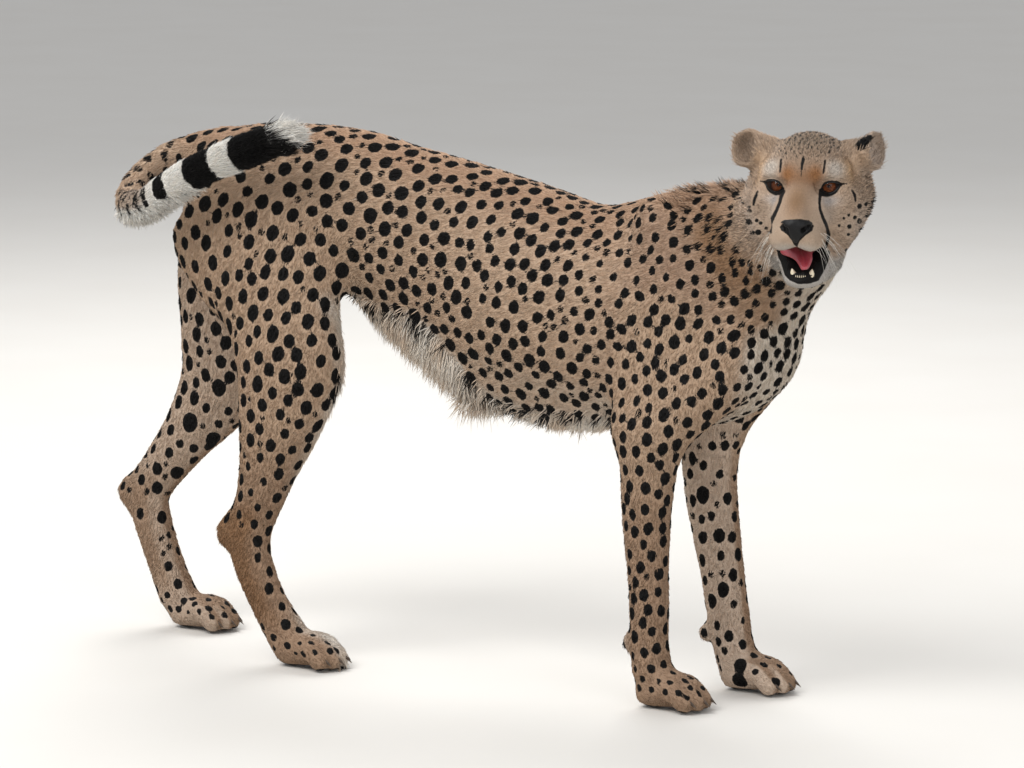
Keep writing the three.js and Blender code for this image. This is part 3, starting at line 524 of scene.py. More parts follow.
def in_mouth(head):
    """Distance in front of the walls of the open mouth: negative inside it."""
    return np.minimum(ellipsoid(head, *GAPE), ellipsoid(head, *PALATE))


# ------------------------------------------------------------------ eyes

EYES = {RIGHT: np.array([-17.0, -35.5, -4.6]), LEFT: np.array([-17.0, 34.0, -4.6])}
INNER = (-12.8, -4.6)  # corners of the opening between the lids, outwards and up
OUTER = (13.2, 3.0)
LID_AT = (0, 0.06, 0.15, 0.28, 0.42, 0.56, 0.70, 0.84, 0.94, 1)  # from the inner corner
UPPER_LID = (-4.6, 0.2, 3.4, 5.6, 6.6, 6.8, 6.5, 5.5, 4.3, 3.0)
LOWER_LID = (-4.6, -6.9, -8.2, -8.9, -8.8, -8.0, -6.2, -3.0, 0.4, 3.0)


def eye_frame(side):
    """An eye's middle, and the ways outwards, up and forwards through its opening."""
    s, c = math.sin(EYE_OUTWARDS), math.cos(EYE_OUTWARDS)
    return EYES[side], np.array([[-s, side * c, 0], [0, 0, 1], [c, side * s, 0]])


def lid_lines(t):
    """Heights of the lower and upper lid at a share t of the way from inner to outer corner."""
    return np.interp(t, LID_AT, LOWER_LID), np.interp(t, LID_AT, UPPER_LID)


def off_lids(x, y):
    """Distance outside the opening between the lids: negative over the eyeball."""
    t = (x - INNER[0]) / (OUTER[0] - INNER[0])
    low, high = lid_lines(t)
    gap = np.maximum(low - y, y - high)
    beyond = np.minimum(np.hypot(x - INNER[0], y - INNER[1]), np.hypot(x - OUTER[0], y - OUTER[1]))
    return np.where((t > 0) & (t < 1), np.minimum(gap, beyond), beyond)


def in_eye(head, side):
    """Places in the head's frame, as outwards, up and forwards from an eye's middle."""
    middle, axes = eye_frame(side)
    return (head - middle) @ axes.T


def shape_lids(skin):
    """Lays the skin over each eyeball as lids, and sinks it behind the opening between them."""
    head = in_head(skin.points)
    for side in SIDES:
        middle, axes = eye_frame(side)
        local = in_eye(head, side)
        x, y, z = local.T
        reach = np.hypot(x, y)
        radius = np.linalg.norm(local, axis=1)
        mine = (z > -2) & (reach < LID_REACH) & (radius < 2 * EYE_RADIUS)
        off = off_lids(x, y)
        lid = EYE_RADIUS + LID
        crease = 1.1 * np.exp(-((off - 5.2) / 1.2) ** 2) * ramp(-1, 3, y)
        outside = blend(lid, np.maximum(radius, lid), ramp(2.5, 10, off)) - crease
        inside = EYE_RADIUS - SINK
        target = blend(inside, outside, ramp(-0.9, 0.5, off))
        share = mine * ramp(LID_REACH, 20, reach)
        scale = blend(1.0, target / np.maximum(radius, 1), share)
        head = np.where(mine[:, None], middle + (local * scale[:, None]) @ axes, head)
    skin.move(from_head(head))


# ------------------------------------------------------------------ making the skin

# The sheath behind the belly is drawn up to this line, x and z.
SHEATH_LINE = ((-0.02, 0.418), (-0.01, 0.4115), (0.0, 0.406), (0.02, 0.397), (0.04, 0.39),
               (0.05, 0.38))


def sink(skin):
    """The skin's points, moved in by the depth of the coat that will grow on them."""
    depth = skin.each("skin") * MM
    head = in_head(skin.points)
    a, b, c = head.T
    cheek = ramp(-14, -50, a) * ramp(26, 4, c) * ramp(34, 56, abs(b)) * ramp(-125, -110, c)
    depth += 4.5 * MM * cheek * skin.of("head", "jaw")
    depth = np.where(in_mouth(head) < 3, 0, depth)
    way = unit(spread(skin.normals, skin.edges, 3))
    return skin.points - way * depth[:, None]


def trim(skin, points):
    """Fills the throat's left side, shapes the left ear's tip and draws the sheath up."""
    a, b, c = in_head(points).T
    throat = np.exp(-((a + 45) / 48) ** 2 - ((c + 156) / 42) ** 2) * ramp(-5, 22, b)
    points += MM * 21 * (throat * skin.of("neck", "head", "jaw", "chest"))[:, None] * LEFTWARD
    ear = skin.of("ear_left")
    points[:, 2] += MM * 5.5 * ramp(84, 98, b) * ramp(30, 56, c) * ear
    points[:, 2] -= MM * 3.5 * ramp(84, 72, b) * ramp(40, 60, c) * ear
    x, y, z = points.T
    line = np.interp(x, *np.array(SHEATH_LINE).T)
    sheath = (x > -0.02) & (x < 0.05) & (abs(y - MIDLINE) < 0.07) & (z > 0.3) & (z < line)
    points[:, 2] = np.where(sheath, line + 0.2 * (z - line), z)
    return points


def make_skin():
    """One closed skin for every CAD node but the tongue."""
    ob = swollen_copy("skin", [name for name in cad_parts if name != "tongue"], SEAM, VOXEL)
    shave(ob)
    smooth(ob)
    coarsen(ob, SKIN_RATIO)
    split_long_edges(ob, LONGEST_EDGE)
    refine_face(ob)
    skin = Skin(ob)
    skin.move(trim(skin, sink(skin)))
    shape_lids(skin)
    shade_smooth(ob.data)
    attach(ob, "root")
    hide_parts(*PARTS)
    return skin


# ------------------------------------------------------------------ the lie of the coat

# The way the hair points on each part, before it is laid along the skin.
LIE = {
    "neck": (-0.85, 0.15, -0.40),
    "chest": (-1.0, 0, -0.45),
    "loin": (-1.0, 0, -0.28),
    "rump": (-0.9, 0, -0.6),
    "leg_fore": (-0.15, 0, -1.0),
    "leg_hind": (-0.3, 0, -1.0),
    "paw": (0.9, 0, -0.5),
}
NOSE_TIP = np.array([72.0, 0, -52.0])


def lay_coat(skin):
    """The way the hair lies at every vertex of the skin."""
    _, _, tail_way = along_tail(skin.points)
    from_nose = unit(in_head(skin.points) - NOSE_TIP) @ HEAD_AXES
    lies = [next((lie for word, lie in LIE.items() if name.startswith(word)), (0, 0, 0))
            for name in PARTS]
    way = skin.share @ np.array(lies, float)
    way += skin.of("head", "jaw", "nose")[:, None] * from_nose
    way += skin.of("tail")[:, None] * tail_way
    for side, word in SIDES.items():
        outward = np.array([-0.1, side * 0.75, 0.66]) @ HEAD_AXES
        way += skin.of(f"ear_{word}")[:, None] * outward
    front = skin.of("chest", "neck") * ramp(0.3, 0.8, skin.normals[:, 0])
    way = blend(way, np.array([0, 0, -1.0]), front)
    normals = unit(spread(skin.normals, skin.edges, 2))
    way = way - normals * dot(way, normals)[:, None]
    way = unit(spread(unit(way), skin.edges, 6))
    return unit(way - normals * dot(way, normals)[:, None])


# ------------------------------------------------------------------ markings


def scatter(points, gap, allowed, rounds=2):
    """Picks vertices about a gap apart and evens them out: the middles of spots."""
    gap = np.broadcast_to(gap, len(points))
    tree = tree_of(points)
    free = allowed.copy()
    picked = []
    for i in chance.permutation(len(points)):
        if free[i]:
            picked.append(i)
            for _, j, _ in tree.find_range(points[i], gap[i]):
                free[j] = False
    mine = np.nonzero(allowed)[0]
    for _ in range(rounds):
        near = tree_of(points[picked])
        owner = np.array([near.find(p)[1] for p in points[mine].tolist()])
        count = np.maximum(np.bincount(owner, minlength=len(picked)), 1)
        middle = np.stack([np.bincount(owner, points[mine, k], len(picked)) / count
                           for k in range(3)], axis=1)
        picked = sorted({tree.find(p)[1] for p in middle.tolist()})
        picked = [i for i in picked if allowed[i]]
    return np.array(picked)


class Spots:
    """Round dark marks on the skin. A distance to them is in millimetres, negative inside."""

    def __init__(self, places, size, stretch, way, normal):
        self.places = places
        self.size = size
        self.stretch = stretch
        self.way = way
        self.across = unit(np.cross(normal, way))
        self.normal = normal
        self.tree = tree_of(places)

    def off(self, points, count=3):
        found = np.array([[hit[1] for hit in self.tree.find_n(p, count)] for p in points.tolist()])
        best = np.full(len(points), BEYOND)
        for k in range(count):
            spot = found[:, k]
            d = (points - self.places[spot]) / MM
            along = dot(d, self.way[spot]) / self.stretch[spot]
            across = dot(d, self.across[spot]) * np.sqrt(self.stretch[spot])
            deep = dot(d, self.normal[spot])
            far = np.sqrt(along ** 2 + across ** 2 + 0.6 * deep ** 2)
            best = np.minimum(best, far - self.size[spot])
        return best


def stroke_off(points, path, widths):
    """Distance to a line of varying half width, all in millimetres."""
    path = np.asarray(path, float)
    best = np.full(len(points), BEYOND)
    for start, end, wide, next_wide in zip(path, path[1:], widths, widths[1:]):
        step = end - start
        t = np.clip((points - start) @ step / (step @ step), 0, 1)
        off = np.linalg.norm(points - start - t[:, None] * step, axis=1)
        best = np.minimum(best, off - (wide + (next_wide - wide) * t))
    return best


def polygon_off(x, y, corners):
    """Distance to a closed outline in a plane, negative inside it."""
    best = np.full(len(x), 1e9)
    inside = np.zeros(len(x), bool)
    corners = np.array(corners, float)
    for p, q in zip(corners, np.roll(corners, -1, axis=0)):
        step = q - p
        t = np.clip(((x - p[0]) * step[0] + (y - p[1]) * step[1]) / (step @ step), 0, 1)
        best = np.minimum(best, np.hypot(x - p[0] - t * step[0], y - p[1] - t * step[1]))
        crosses = (p[1] > y) != (q[1] > y)
        at = p[0] + (y - p[1]) * step[0] / (step[1] if step[1] else 1)
        inside ^= crosses & (x < at)
    return np.where(inside, -best, best)


# Marks of the face, in the head's frame. The tear lines run from the eyes to the mouth.
TEAR_LEFT = [(4, 25, -11), (20, 26.5, -16), (31, 28, -22), (37, 30, -30), (37, 34, -41),
             (27, 37, -52), (10, 37, -62), (-6, 35, -69), (-15, 32, -79), (-17, 29, -87)]
TEAR_RIGHT = [(4, -26, -11), (22, -25, -16), (36, -24, -22), (43, -26.5, -31), (44, -31, -41),
              (42, -35.5, -50), (34, -38, -60), (20, -39, -68), (4, -38, -76), (-10, -36, -84)]
TEAR_WIDTH = [2.8, 2.1, 1.8, 1.9, 2.2, 2.5, 2.5, 2.3, 2.0, 1.6]
CHEEK_WIDTH = [1.3, 2.0, 1.3]
BROW_WIDTH = [1.5, 1.2]
# Every line as its points and its half widths there: tears, cheeks, brows and crown.
FACE_LINES = [
    (TEAR_LEFT, TEAR_WIDTH),
    (TEAR_RIGHT, TEAR_WIDTH),
    ([(-9, 65, -9), (-8, 69, -15), (-8, 70, -23)], CHEEK_WIDTH),
    ([(-9, -62, -14), (-9, -66, -24), (-8, -67, -32)], CHEEK_WIDTH),
    ([(-3, 29.5, 30), (7, 29, 15)], BROW_WIDTH),
    ([(-3, -29.5, 30), (7, -29, 15)], BROW_WIDTH),
    ([(-6, 0, 34), (8, 0.5, 25), (19, 1.5, 11)], [2.2, 1.7, 0.4]),
]
# Outlines seen from the front, left and up: the bare nose, and the black lip of the lower jaw.
NOSE_PAD = [(-19, -51), (-12, -43), (-1, -40), (9, -39), (19, -42), (25, -50), (24, -55),
            (16, -61), (9, -68), (3.5, -79), (0.5, -74), (-1, -68), (-7, -60), (-16, -55)]
NOSE_BACK = 52  # the bare nose lies in front of this
LOWER_LIP = [(-37, -92), (-34, -102), (-27, -110), (-18, -119), (-10, -125), (2, -129), (16, -129),
             (27, -126), (32, -115), (35, -105), (36, -92), (27, -88), (3, -86), (-26, -88)]
# Single spots of the face: place and radius.
CHEEK_SPOTS = [
    (-18, 74, -31, 2.8), (-34, 80, -30, 2.2), (-44, 83, -38, 2.2), (-50, 86, -27, 2.2),
    (-43, 80, -47, 2.2), (-8, 61, -42, 1.6), (-16, 68, -46, 2.0), (-27, 73, -52, 3.0),
    (-58, 78, -60, 2.6), (-14, 61, -58, 2.4), (-39, 74, -66, 3.0), (-18, 59, -69, 1.7),
    (-52, 72, -78, 2.6), (-4, 49, -56, 1.5), (-5, 55, -46, 1.4), (-30, 56, -92, 2.2),
    (-20, -73, -58, 1.9), (-11, -63, -53, 1.8), (-8, -57, -56, 1.8), (-4, -49, -62, 1.6),
    (-13, -61, -69, 2.9), (-28, -77, -56, 2.2), (-38, -78, -44, 2.0), (-46, -80, -60, 2.6),
    (-30, -72, -72, 2.2), (-16, -74, -36, 1.6), (-35, 71, 47, 4.5), (-38, 77, 52, 5.0),
    (-41, 83, 57, 3.6),
]


# Larger marks on the pale inner sides of the left legs: place in metres, radius in millimetres.
LEG_MARKS = [
    (0.354, 0.081, 0.343, 6.5), (0.369, 0.085, 0.346, 7.0), (0.383, 0.101, 0.345, 6.5),
    (0.336, 0.083, 0.274, 11.5), (0.318, 0.084, 0.262, 7.5), (0.371, 0.095, 0.270, 7.5),
    (0.337, 0.087, 0.212, 8.5), (0.362, 0.087, 0.218, 9.5), (0.377, 0.097, 0.216, 7.5),
    (0.333, 0.089, 0.180, 8.5), (0.367, 0.087, 0.146, 9.5), (0.346, 0.090, 0.123, 9.5),
    (0.380, 0.094, 0.165, 8.0), (0.385, 0.093, 0.122, 5.5), (0.394, 0.099, 0.099, 4.5),
    (0.363, 0.090, 0.304, 6.0), (0.396, 0.082, 0.037, 11.0), (0.401, 0.083, 0.018, 12.0),
    (0.449, 0.085, 0.020, 7.0),
    (-0.494, 0.079, 0.313, 14.0), (-0.440, 0.074, 0.364, 12.3), (-0.462, 0.093, 0.288, 11.5),
    (-0.460, 0.096, 0.262, 9.5), (-0.524, 0.095, 0.232, 10.5), (-0.556, 0.085, 0.235, 9.4),
    (-0.559, 0.089, 0.206, 9.5), (-0.584, 0.087, 0.219, 7.9), (-0.553, 0.098, 0.164, 8.5),
    (-0.544, 0.102, 0.139, 5.0), (-0.532, 0.113, 0.113, 6.0), (-0.524, 0.119, 0.088, 5.0),
    (-0.510, 0.120, 0.061, 6.0), (-0.481, 0.062, 0.504, 10.8), (-0.466, 0.066, 0.418, 8.9),
]

FACE_VIEW = unit(np.array([0.966, 0.234, 0.112]))  # from the head towards the camera
TAIL_RINGS = [(350, 395), (431, 500)]  # millimetres along the tail
# Bars across the tail that don't reach its underside.
TAIL_BARS = [(197, 203), (212, 219), (229, 236), (246, 254), (264, 274), (292, 311)]
SMALL_GAP, FLECK_GAP, CROWN_GAP = 13 * MM, 15 * MM, 5.8 * MM
CLEAR = 0.025  # scattered spots stay this far from those that are placed one by one
ROOM = 0.41  # a spot's largest radius, as a share of the distance to the nearest other
SOLE_EDGE = 5  # millimetres over the floor, below which the paws are black
UPRIGHT = np.array([0.25, 0, 1.0])  # the body's spots are a little longer this way


def spots_on(skin, where, size, stretch, way):
    return Spots(skin.points[where], size, stretch, way[where], skin.normals[where])


def spotted_coat(skin):
    """Where spots may lie: not on the head, belly or soles, nor on pale or ringed places."""
    x, _, z = skin.points.T
    ahead, _, up = skin.normals.T
    place, _, _ = along_tail(skin.points)
    tail = skin.of("tail_middle", "tail_tip") > 0.5
    ringed = tail & ((place > 0.188) | ((up < -0.35) & (place > 0.13)))
    hind_cannon = (skin.of("leg_hind") > 0.5) & (z < 0.20) & (ahead < 0.35)
    white_front = (skin.of("neck") > 0.4) & (ahead > 0.75) & (x > 0.36) & (z > 0.58)
    coat = (skin.of("head", "jaw", "nose", "ear") < 0.45) & (pale_belly(skin.points) < 0.75)
    return coat & (z > 0.022) & ~ringed & ~hind_cannon & ~white_front


def main_spots(skin, coat):
    """Vertices, radii and stretches of the spots, scattered and then those placed one by one."""
    points = skin.points
    x, _, z = points.T
    gap, size = skin.each("gap"), skin.each("spot")
    low = ramp(0.44, 0.24, z) * skin.of("leg_hind")
    gap, size = blend(gap, 21, low), blend(size, 7.0, low)
    front = ramp(0.14, 0.30, x) * skin.of("chest")
    gap, size = blend(gap, 18, front), blend(size, 6.7, front)
    placed = np.array(LEG_MARKS)
    near = tree_of(placed[:, :3])
    clear = np.array([near.find(p)[2] for p in points.tolist()]) > CLEAR
    where = scatter(points, gap * MM, coat & clear)
    radius = size[where] * chance.uniform(0.78, 1.14, len(where))
    vertices = tree_of(points)
    where = np.concatenate([where, [vertices.find(p)[1] for p in placed[:, :3].tolist()]])
    middles = tree_of(points[where])
    apart = np.array([middles.find_n(p, 2)[-1][2] for p in points[where].tolist()]) / MM
    radius = np.minimum(radius, ROOM * apart[:len(radius)])
    # Round on the whole, a little long on the trunk and legs, and broad across the tail.
    stretch = 1 + 0.10 * chance.random(len(where)) + 0.10 * skin.of("neck", "leg_fore")[where]
    stretch += 0.1 * skin.of("chest", "leg_hind")[where] - 0.42 * skin.of("tail")[where]
    return where, np.concatenate([radius, placed[:, 3]]), stretch


class Markings:
    """Everything dark on the pale coat, for the skin and for the tufts alike."""

    def __init__(self, skin, lie):
        points, normals = skin.points, skin.normals
        a, b, c = in_head(points).T
        coat = spotted_coat(skin)
        where, radius, stretch = main_spots(skin, coat)
        room = spots_on(skin, where, radius, stretch, lie).off(points)
        upright = unit(UPRIGHT - normals * (normals @ UPRIGHT)[:, None])
        way = unit(blend(lie, upright, skin.of("neck", "chest", "loin", "rump")))

        # Small marks in the widest places between the spots, most of them on the trunk.
        free = coat & (room > 7.4) & (points[:, 2] > 0.1) & (skin.of("tail") < 0.3)
        small = scatter(points, SMALL_GAP, free, rounds=0)
        small = small[chance.random(len(small)) < 0.66 - 0.35 * skin.of("leg")[small]]
        little = np.minimum(chance.uniform(4.2, 6.2, len(small)), 0.6 * room[small])
        self.spots = spots_on(skin, where, radius, stretch, way)
        self.small = spots_on(skin, small, little, chance.uniform(0.95, 1.2, len(small)), way)

        # Brown flecks in what is still free.
        room = np.minimum(self.spots.off(points), self.small.off(points, 2))
        on_head = skin.of("head", "jaw", "nose", "ear")
        free = coat & (room > 4.5) & (on_head < 0.2) & (skin.of("tail", "leg_fore", "paw") < 0.3)
        where = scatter(points, FLECK_GAP, free, rounds=0)
        where = where[chance.random(len(where)) < 0.45]
        radius = chance.uniform(1.1, 2.6, len(where))
        self.flecks = spots_on(skin, where, radius, 1 + 0.5 * chance.random(len(where)), lie)

        # Black flecks over the crown, behind the brows, and down the back of the head.
        crown = (c > 22 + 0.012 * b * b - 4 * (abs(b) < 14)) & (a < 14)
        crown |= (a < -58) & (c > -40)
        crown &= (on_head > 0.5) & (skin.of("ear") < 0.3)
        where = scatter(points, CROWN_GAP, crown, rounds=0)
        radius = chance.uniform(1.8, 2.7, len(where))
        self.crown = spots_on(skin, where, radius, np.full(len(where), 1.55), lie)

    def black(self, points, fine=True):
        """Distance in millimetres to the nearest black mark, negative inside it.

        The small marks are left out for the skin, whose mesh is coarser than they are.
        """
        head = in_head(points)
        wobble = 0.8 * ripple(points, 0.014, 3) + 0.4 * ripple(points, 0.006, 4)
        off = self.spots.off(points) + wobble
        off = np.minimum(off, points[:, 2] / MM - SOLE_EDGE + 2 * wobble)
        if fine:
            off = np.minimum(off, self.small.off(points, 1) + 0.3 * wobble)
            off = np.minimum(off, self.crown.off(points, 1) + 0.3 * ripple(points, 0.004, 8))
        off = np.minimum(off, self.tail_rings(points) + 1.8 * wobble)
        on_face = np.linalg.norm(head - [0, 0, -20], axis=1) < 150
        face = np.full(len(points), BEYOND)
        face[on_face] = self.face(head[on_face])
        return np.minimum(off, face)

    def brown(self, points):
        return self.flecks.off(points, 2) + 0.7 * ripple(points, 0.006, 6)

    def face(self, head):
        """The marks of the face, drawn along the view so that they reach the skin."""
        a, b, c = head.T
        off = np.full(len(head), BEYOND)

        def flat(points):
            points = np.asarray(points, float)
            return points - 0.93 * (points @ FACE_VIEW)[..., None] * FACE_VIEW

        for path, widths in FACE_LINES:
            off = np.minimum(off, stroke_off(flat(head), flat(path), widths))
        for side in SIDES:
            x, y, z = in_eye(head, side).T
            # The black rim of the eye is broadest at its corners and below it.
            rim = 2.1 + 0.6 * ramp(4, 12, x) + 1.2 * ramp(-2, -8, y) + 0.6 * ramp(-8, -13, x)
            off = np.minimum(off, np.where(z > 0, off_lids(x, y) - rim, BEYOND))
            corner = (OUTER[0], OUTER[1] + 0.5)
            line = stroke_off(np.stack([x, y], axis=1), [corner, (22, 4.2)], [1.7, 0.7])
            off = np.minimum(off, np.where(z > -6, line, BEYOND))
        for *place, size in CHEEK_SPOTS:
            off = np.minimum(off, np.linalg.norm(flat(head) - flat(place), axis=1) - size * 1.35)
        nose = np.maximum(polygon_off(b, c, NOSE_PAD), NOSE_BACK - a)
        lip = np.maximum(polygon_off(b, c, LOWER_LIP), -22 - a)
        lip = np.maximum(lip, np.minimum(in_mouth(head) - 2.2, c + 88 + 0.75 * a))
        return np.minimum(off, np.minimum(nose, lip))

    def tail_rings(self, points):
        """Distance to the black bars and rings of the tail."""
        place, away, _ = along_tail(points)
        at = place / MM
        rings = np.full(len(points), BEYOND)
        height = (points[:, 2] - np.interp(place, TAIL_AT, TAIL[:, 2])) / MM
        for start, end in TAIL_RINGS:
            tilt = 0.5 * height * (end > 480)
            rings = np.minimum(rings, np.maximum(start - at, at + tilt - end))
        reach = -11 - height - 5 * ripple(points, 0.02, 14)
        for start, end in TAIL_BARS:
            rings = np.minimum(rings, np.maximum(np.maximum(start - at, at - end), reach))
        return np.where(away < 0.06, rings, BEYOND)


# The lower edge of the spotted coat along the body, x and z, above the pale hair of the belly.
BELLY_LINE = np.array([[-0.22, 0.540], [-0.13, 0.520], [-0.04, 0.510], [0.00, 0.478],
                       [0.02, 0.432], [0.06, 0.392], [0.11, 0.380], [0.22, 0.386], [0.30, 0.41]])


def pale_belly(points):
    """1 under the belly, 0 on the flanks."""
    x, y, z = points.T
    near_middle = ramp(0.105, 0.07, abs(y - MIDLINE))
    along = ramp(-0.27, -0.22, x) * ramp(0.33, 0.27, x)
    edge = np.interp(x, *BELLY_LINE.T) + 0.006 * ripple(points, 0.03, 12)
    return ramp(0.020, -0.020, z - edge) * along * near_middle


def ground(points, normals, share):
    """The colour of the coat between its marks, at points with the given parts' shares."""
    head = in_head(points)
    _, b, c = head.T
    x, y, z = points.T
    ahead, _, up = normals.T
    place, away, _ = along_tail(points)

    def of(*words):
        return share_of(share, *words)

    inward = np.where(y > MIDLINE, -normals[:, 1], normals[:, 1])
    legs = of("leg", "paw")
    trunk = of("chest", "loin", "rump", "neck")
    colour = np.tile(paint(SAND), (len(points), 1))
    fringe = np.tile(paint(BELLY_HAIR), (len(points), 1))
    fringe = blend(fringe, paint(PALE_HAIR), ramp(-0.6, 0.9, ripple(points, 0.05, 17)))
    behind = ramp(0.25, 0.20, z) * ramp(0.55, 0.0, ahead) * (0.9 - 0.35 * ramp(0.2, 0.7, inward))
    throat = ramp(-95, -120, c) * ramp(-230, -190, c) * ramp(-60, -20, b)
    edge = 0.5 - 0.25 * np.maximum(ramp(0.56, 0.47, z), throat)
    front = ramp(0, 0.4, ahead - edge) * of("chest", "neck") * ramp(0.33, 0.38, x)
    tail = of("tail") * (away < 0.05)
    below = ramp(0.1, -0.5, up) * ramp(0.12, 0.2, place)
    for over, where in (
            (paint(FAWN), of("rump", "loin") * 0.6),
            (paint(TAWNY), of("neck") * (0.45 + 0.55 * ramp(0.54, 0.62, z))),
            (paint(SHOULDER), 0.7 * of("chest") * ramp(0.22, 0.32, x)),
            (paint(BACK), ramp(0.35, 0.85, up) * trunk),
            (paint(LEG), 0.8 * of("leg")),
            (paint(LOWER_LEG), legs * ramp(0.38, 0.24, z)),
            # The inward-facing sides of the legs: their own pale cream, darkened by painted shade.
            (paint(INNER_LEG), ramp(0.25, 0.75, inward) * legs * 0.9),
            (paint(INNER_FORELEG), ramp(0.35, 0.85, inward) * of("leg_fore", "paw_fore")),
            (paint(CANNON), of("leg_hind") * behind),
            (paint(CREAM), 0.8 * ramp(-0.35, -0.8, up) * trunk),
            (fringe, pale_belly(points)),
            (paint(CREAM), front),
            (paint(TAIL_GREY), tail * ramp(0.18, 0.22, place) * 0.8),
            (paint(WHITE), tail * np.clip(below + ramp(0.25, 0.29, place), 0, 1))):
        colour = blend(colour, over, where)
    face = of("head", "jaw", "nose", "ear")
    return blend(colour, face_ground(head, normals @ HEAD_AXES.T), np.clip(face * 1.25, 0, 1))


# Patches of colour on the head: middle (forward, outward, up), radii, colour and strength.
FACE_PATCHES = [
    ((10, 0, 4), (26, 24, 26), "#764f2e", 0.9),
    ((45, 0, -22), (40, 17, 30), "#86674a", 0.95),
    ((-20, 68, 22), (22, 18, 22), "#d2ad84", 0.95),
    ((-40, 0, 52), (46, 46, 20), "#84725f", 0.9),
    ((0, 0, 30), (22, 42, 16), "#927b67", 0.7),
    ((-4, 43, 19), (17, 14, 15), "#bdb2a6", 1.0),
    ((12, 20, 14), (14, 13, 16), "#8b5a2d", 0.85),
    ((12, 38, -22), (18, 17, 9), "#aea8a4", 0.9),
    ((22, 44, -40), (26, 18, 18), "#b6a595", 0.8),
    ((50, 24, -62), (24, 14, 18), "#a8947f", 0.8),
    ((56, 10, -80), (24, 24, 9), "#bfb6ac", 0.9),
    ((-40, 68, -60), (36, 28, 32), "#c4b1a0", 0.85),
    # The hollow of each ear, darkened by painted shade.
    ((-62, 84, 36), (24, 20, 26), "#786656", 0.9),
]


def face_ground(head, normals):
    """The colour of the head between its marks. All in the head's frame."""
    a, b, c = head.T
    s = abs(b)
    def patch(middle, radii, power=2.4):
        at = np.stack([a, s, c], axis=1)
        d = (at - np.array(middle, float)) / np.array(radii, float)
        return np.exp(-1.2 * dot(d, d) ** (power / 2))

    colour = np.tile(paint(FACE), (len(head), 1))
    for middle, radii, code, share in FACE_PATCHES:
        colour = blend(colour, paint(code), share * patch(middle, radii))
    # The white chin under the jaw, greyed by painted shade.
    chin = ramp(-92, -108, c) * ramp(-70, -40, a) * ramp(-62, -42, b)
    colour = blend(colour, paint(CHIN), chin)
    # Painted light: only the left ear's hollow is painted pale again, so the two ears are lit and
    # shaded copies of one colour.
    lit_hollow = patch((-62, 84, 36), (26, 22, 30)) * (b > 0)
    colour = blend(colour, paint(EAR_HOLLOW_PAINTED_LIGHT), 0.9 * lit_hollow)
    back_of_ear = ramp(0.1, -0.4, normals[:, 0]) * ramp(66, 74, s) * (c > 12)
    dark = back_of_ear * patch((-66, 88, 46), (30, 15, 17), 4)
    return blend(colour, paint(EAR_BACK), dark)


# ------------------------------------------------------------------ the coat

# A tuft's rings, each at a share of its length and of its width, below its tip.
SHORT = [(0, 1.0)]
LONG = [(0, 0.7), (0.34, 1.0), (0.7, 0.66)]
ROOT_DEPTH = 0.0007  # how deep a tuft's root lies under the skin
LOWEST = 0.0006  # hair stays this far above the floor
UV_PATCH = 0.003  # size of a tuft's own patch of the unwrap
# Painted shade darkens each tuft at its root and along it, and painted light brightens its tip.
HAIR_PAINTED_SHADING = (0.82, 0.24, 1.08)  # brightness at the root, what is added along it, at the tip


def triangle_mesh(name, points, triangles):
    mesh = bpy.data.meshes.new(name)
    mesh.vertices.add(len(points))
    store(mesh.vertices, "co", points)
    mesh.loops.add(triangles.size)
    mesh.loops.foreach_set("vertex_index", triangles.astype(np.int32).ravel())
    mesh.polygons.add(len(triangles))
    mesh.polygons.foreach_set("loop_start", np.arange(0, triangles.size, 3, dtype=np.int32))
    mesh.update(calc_edges=True)
    return mesh


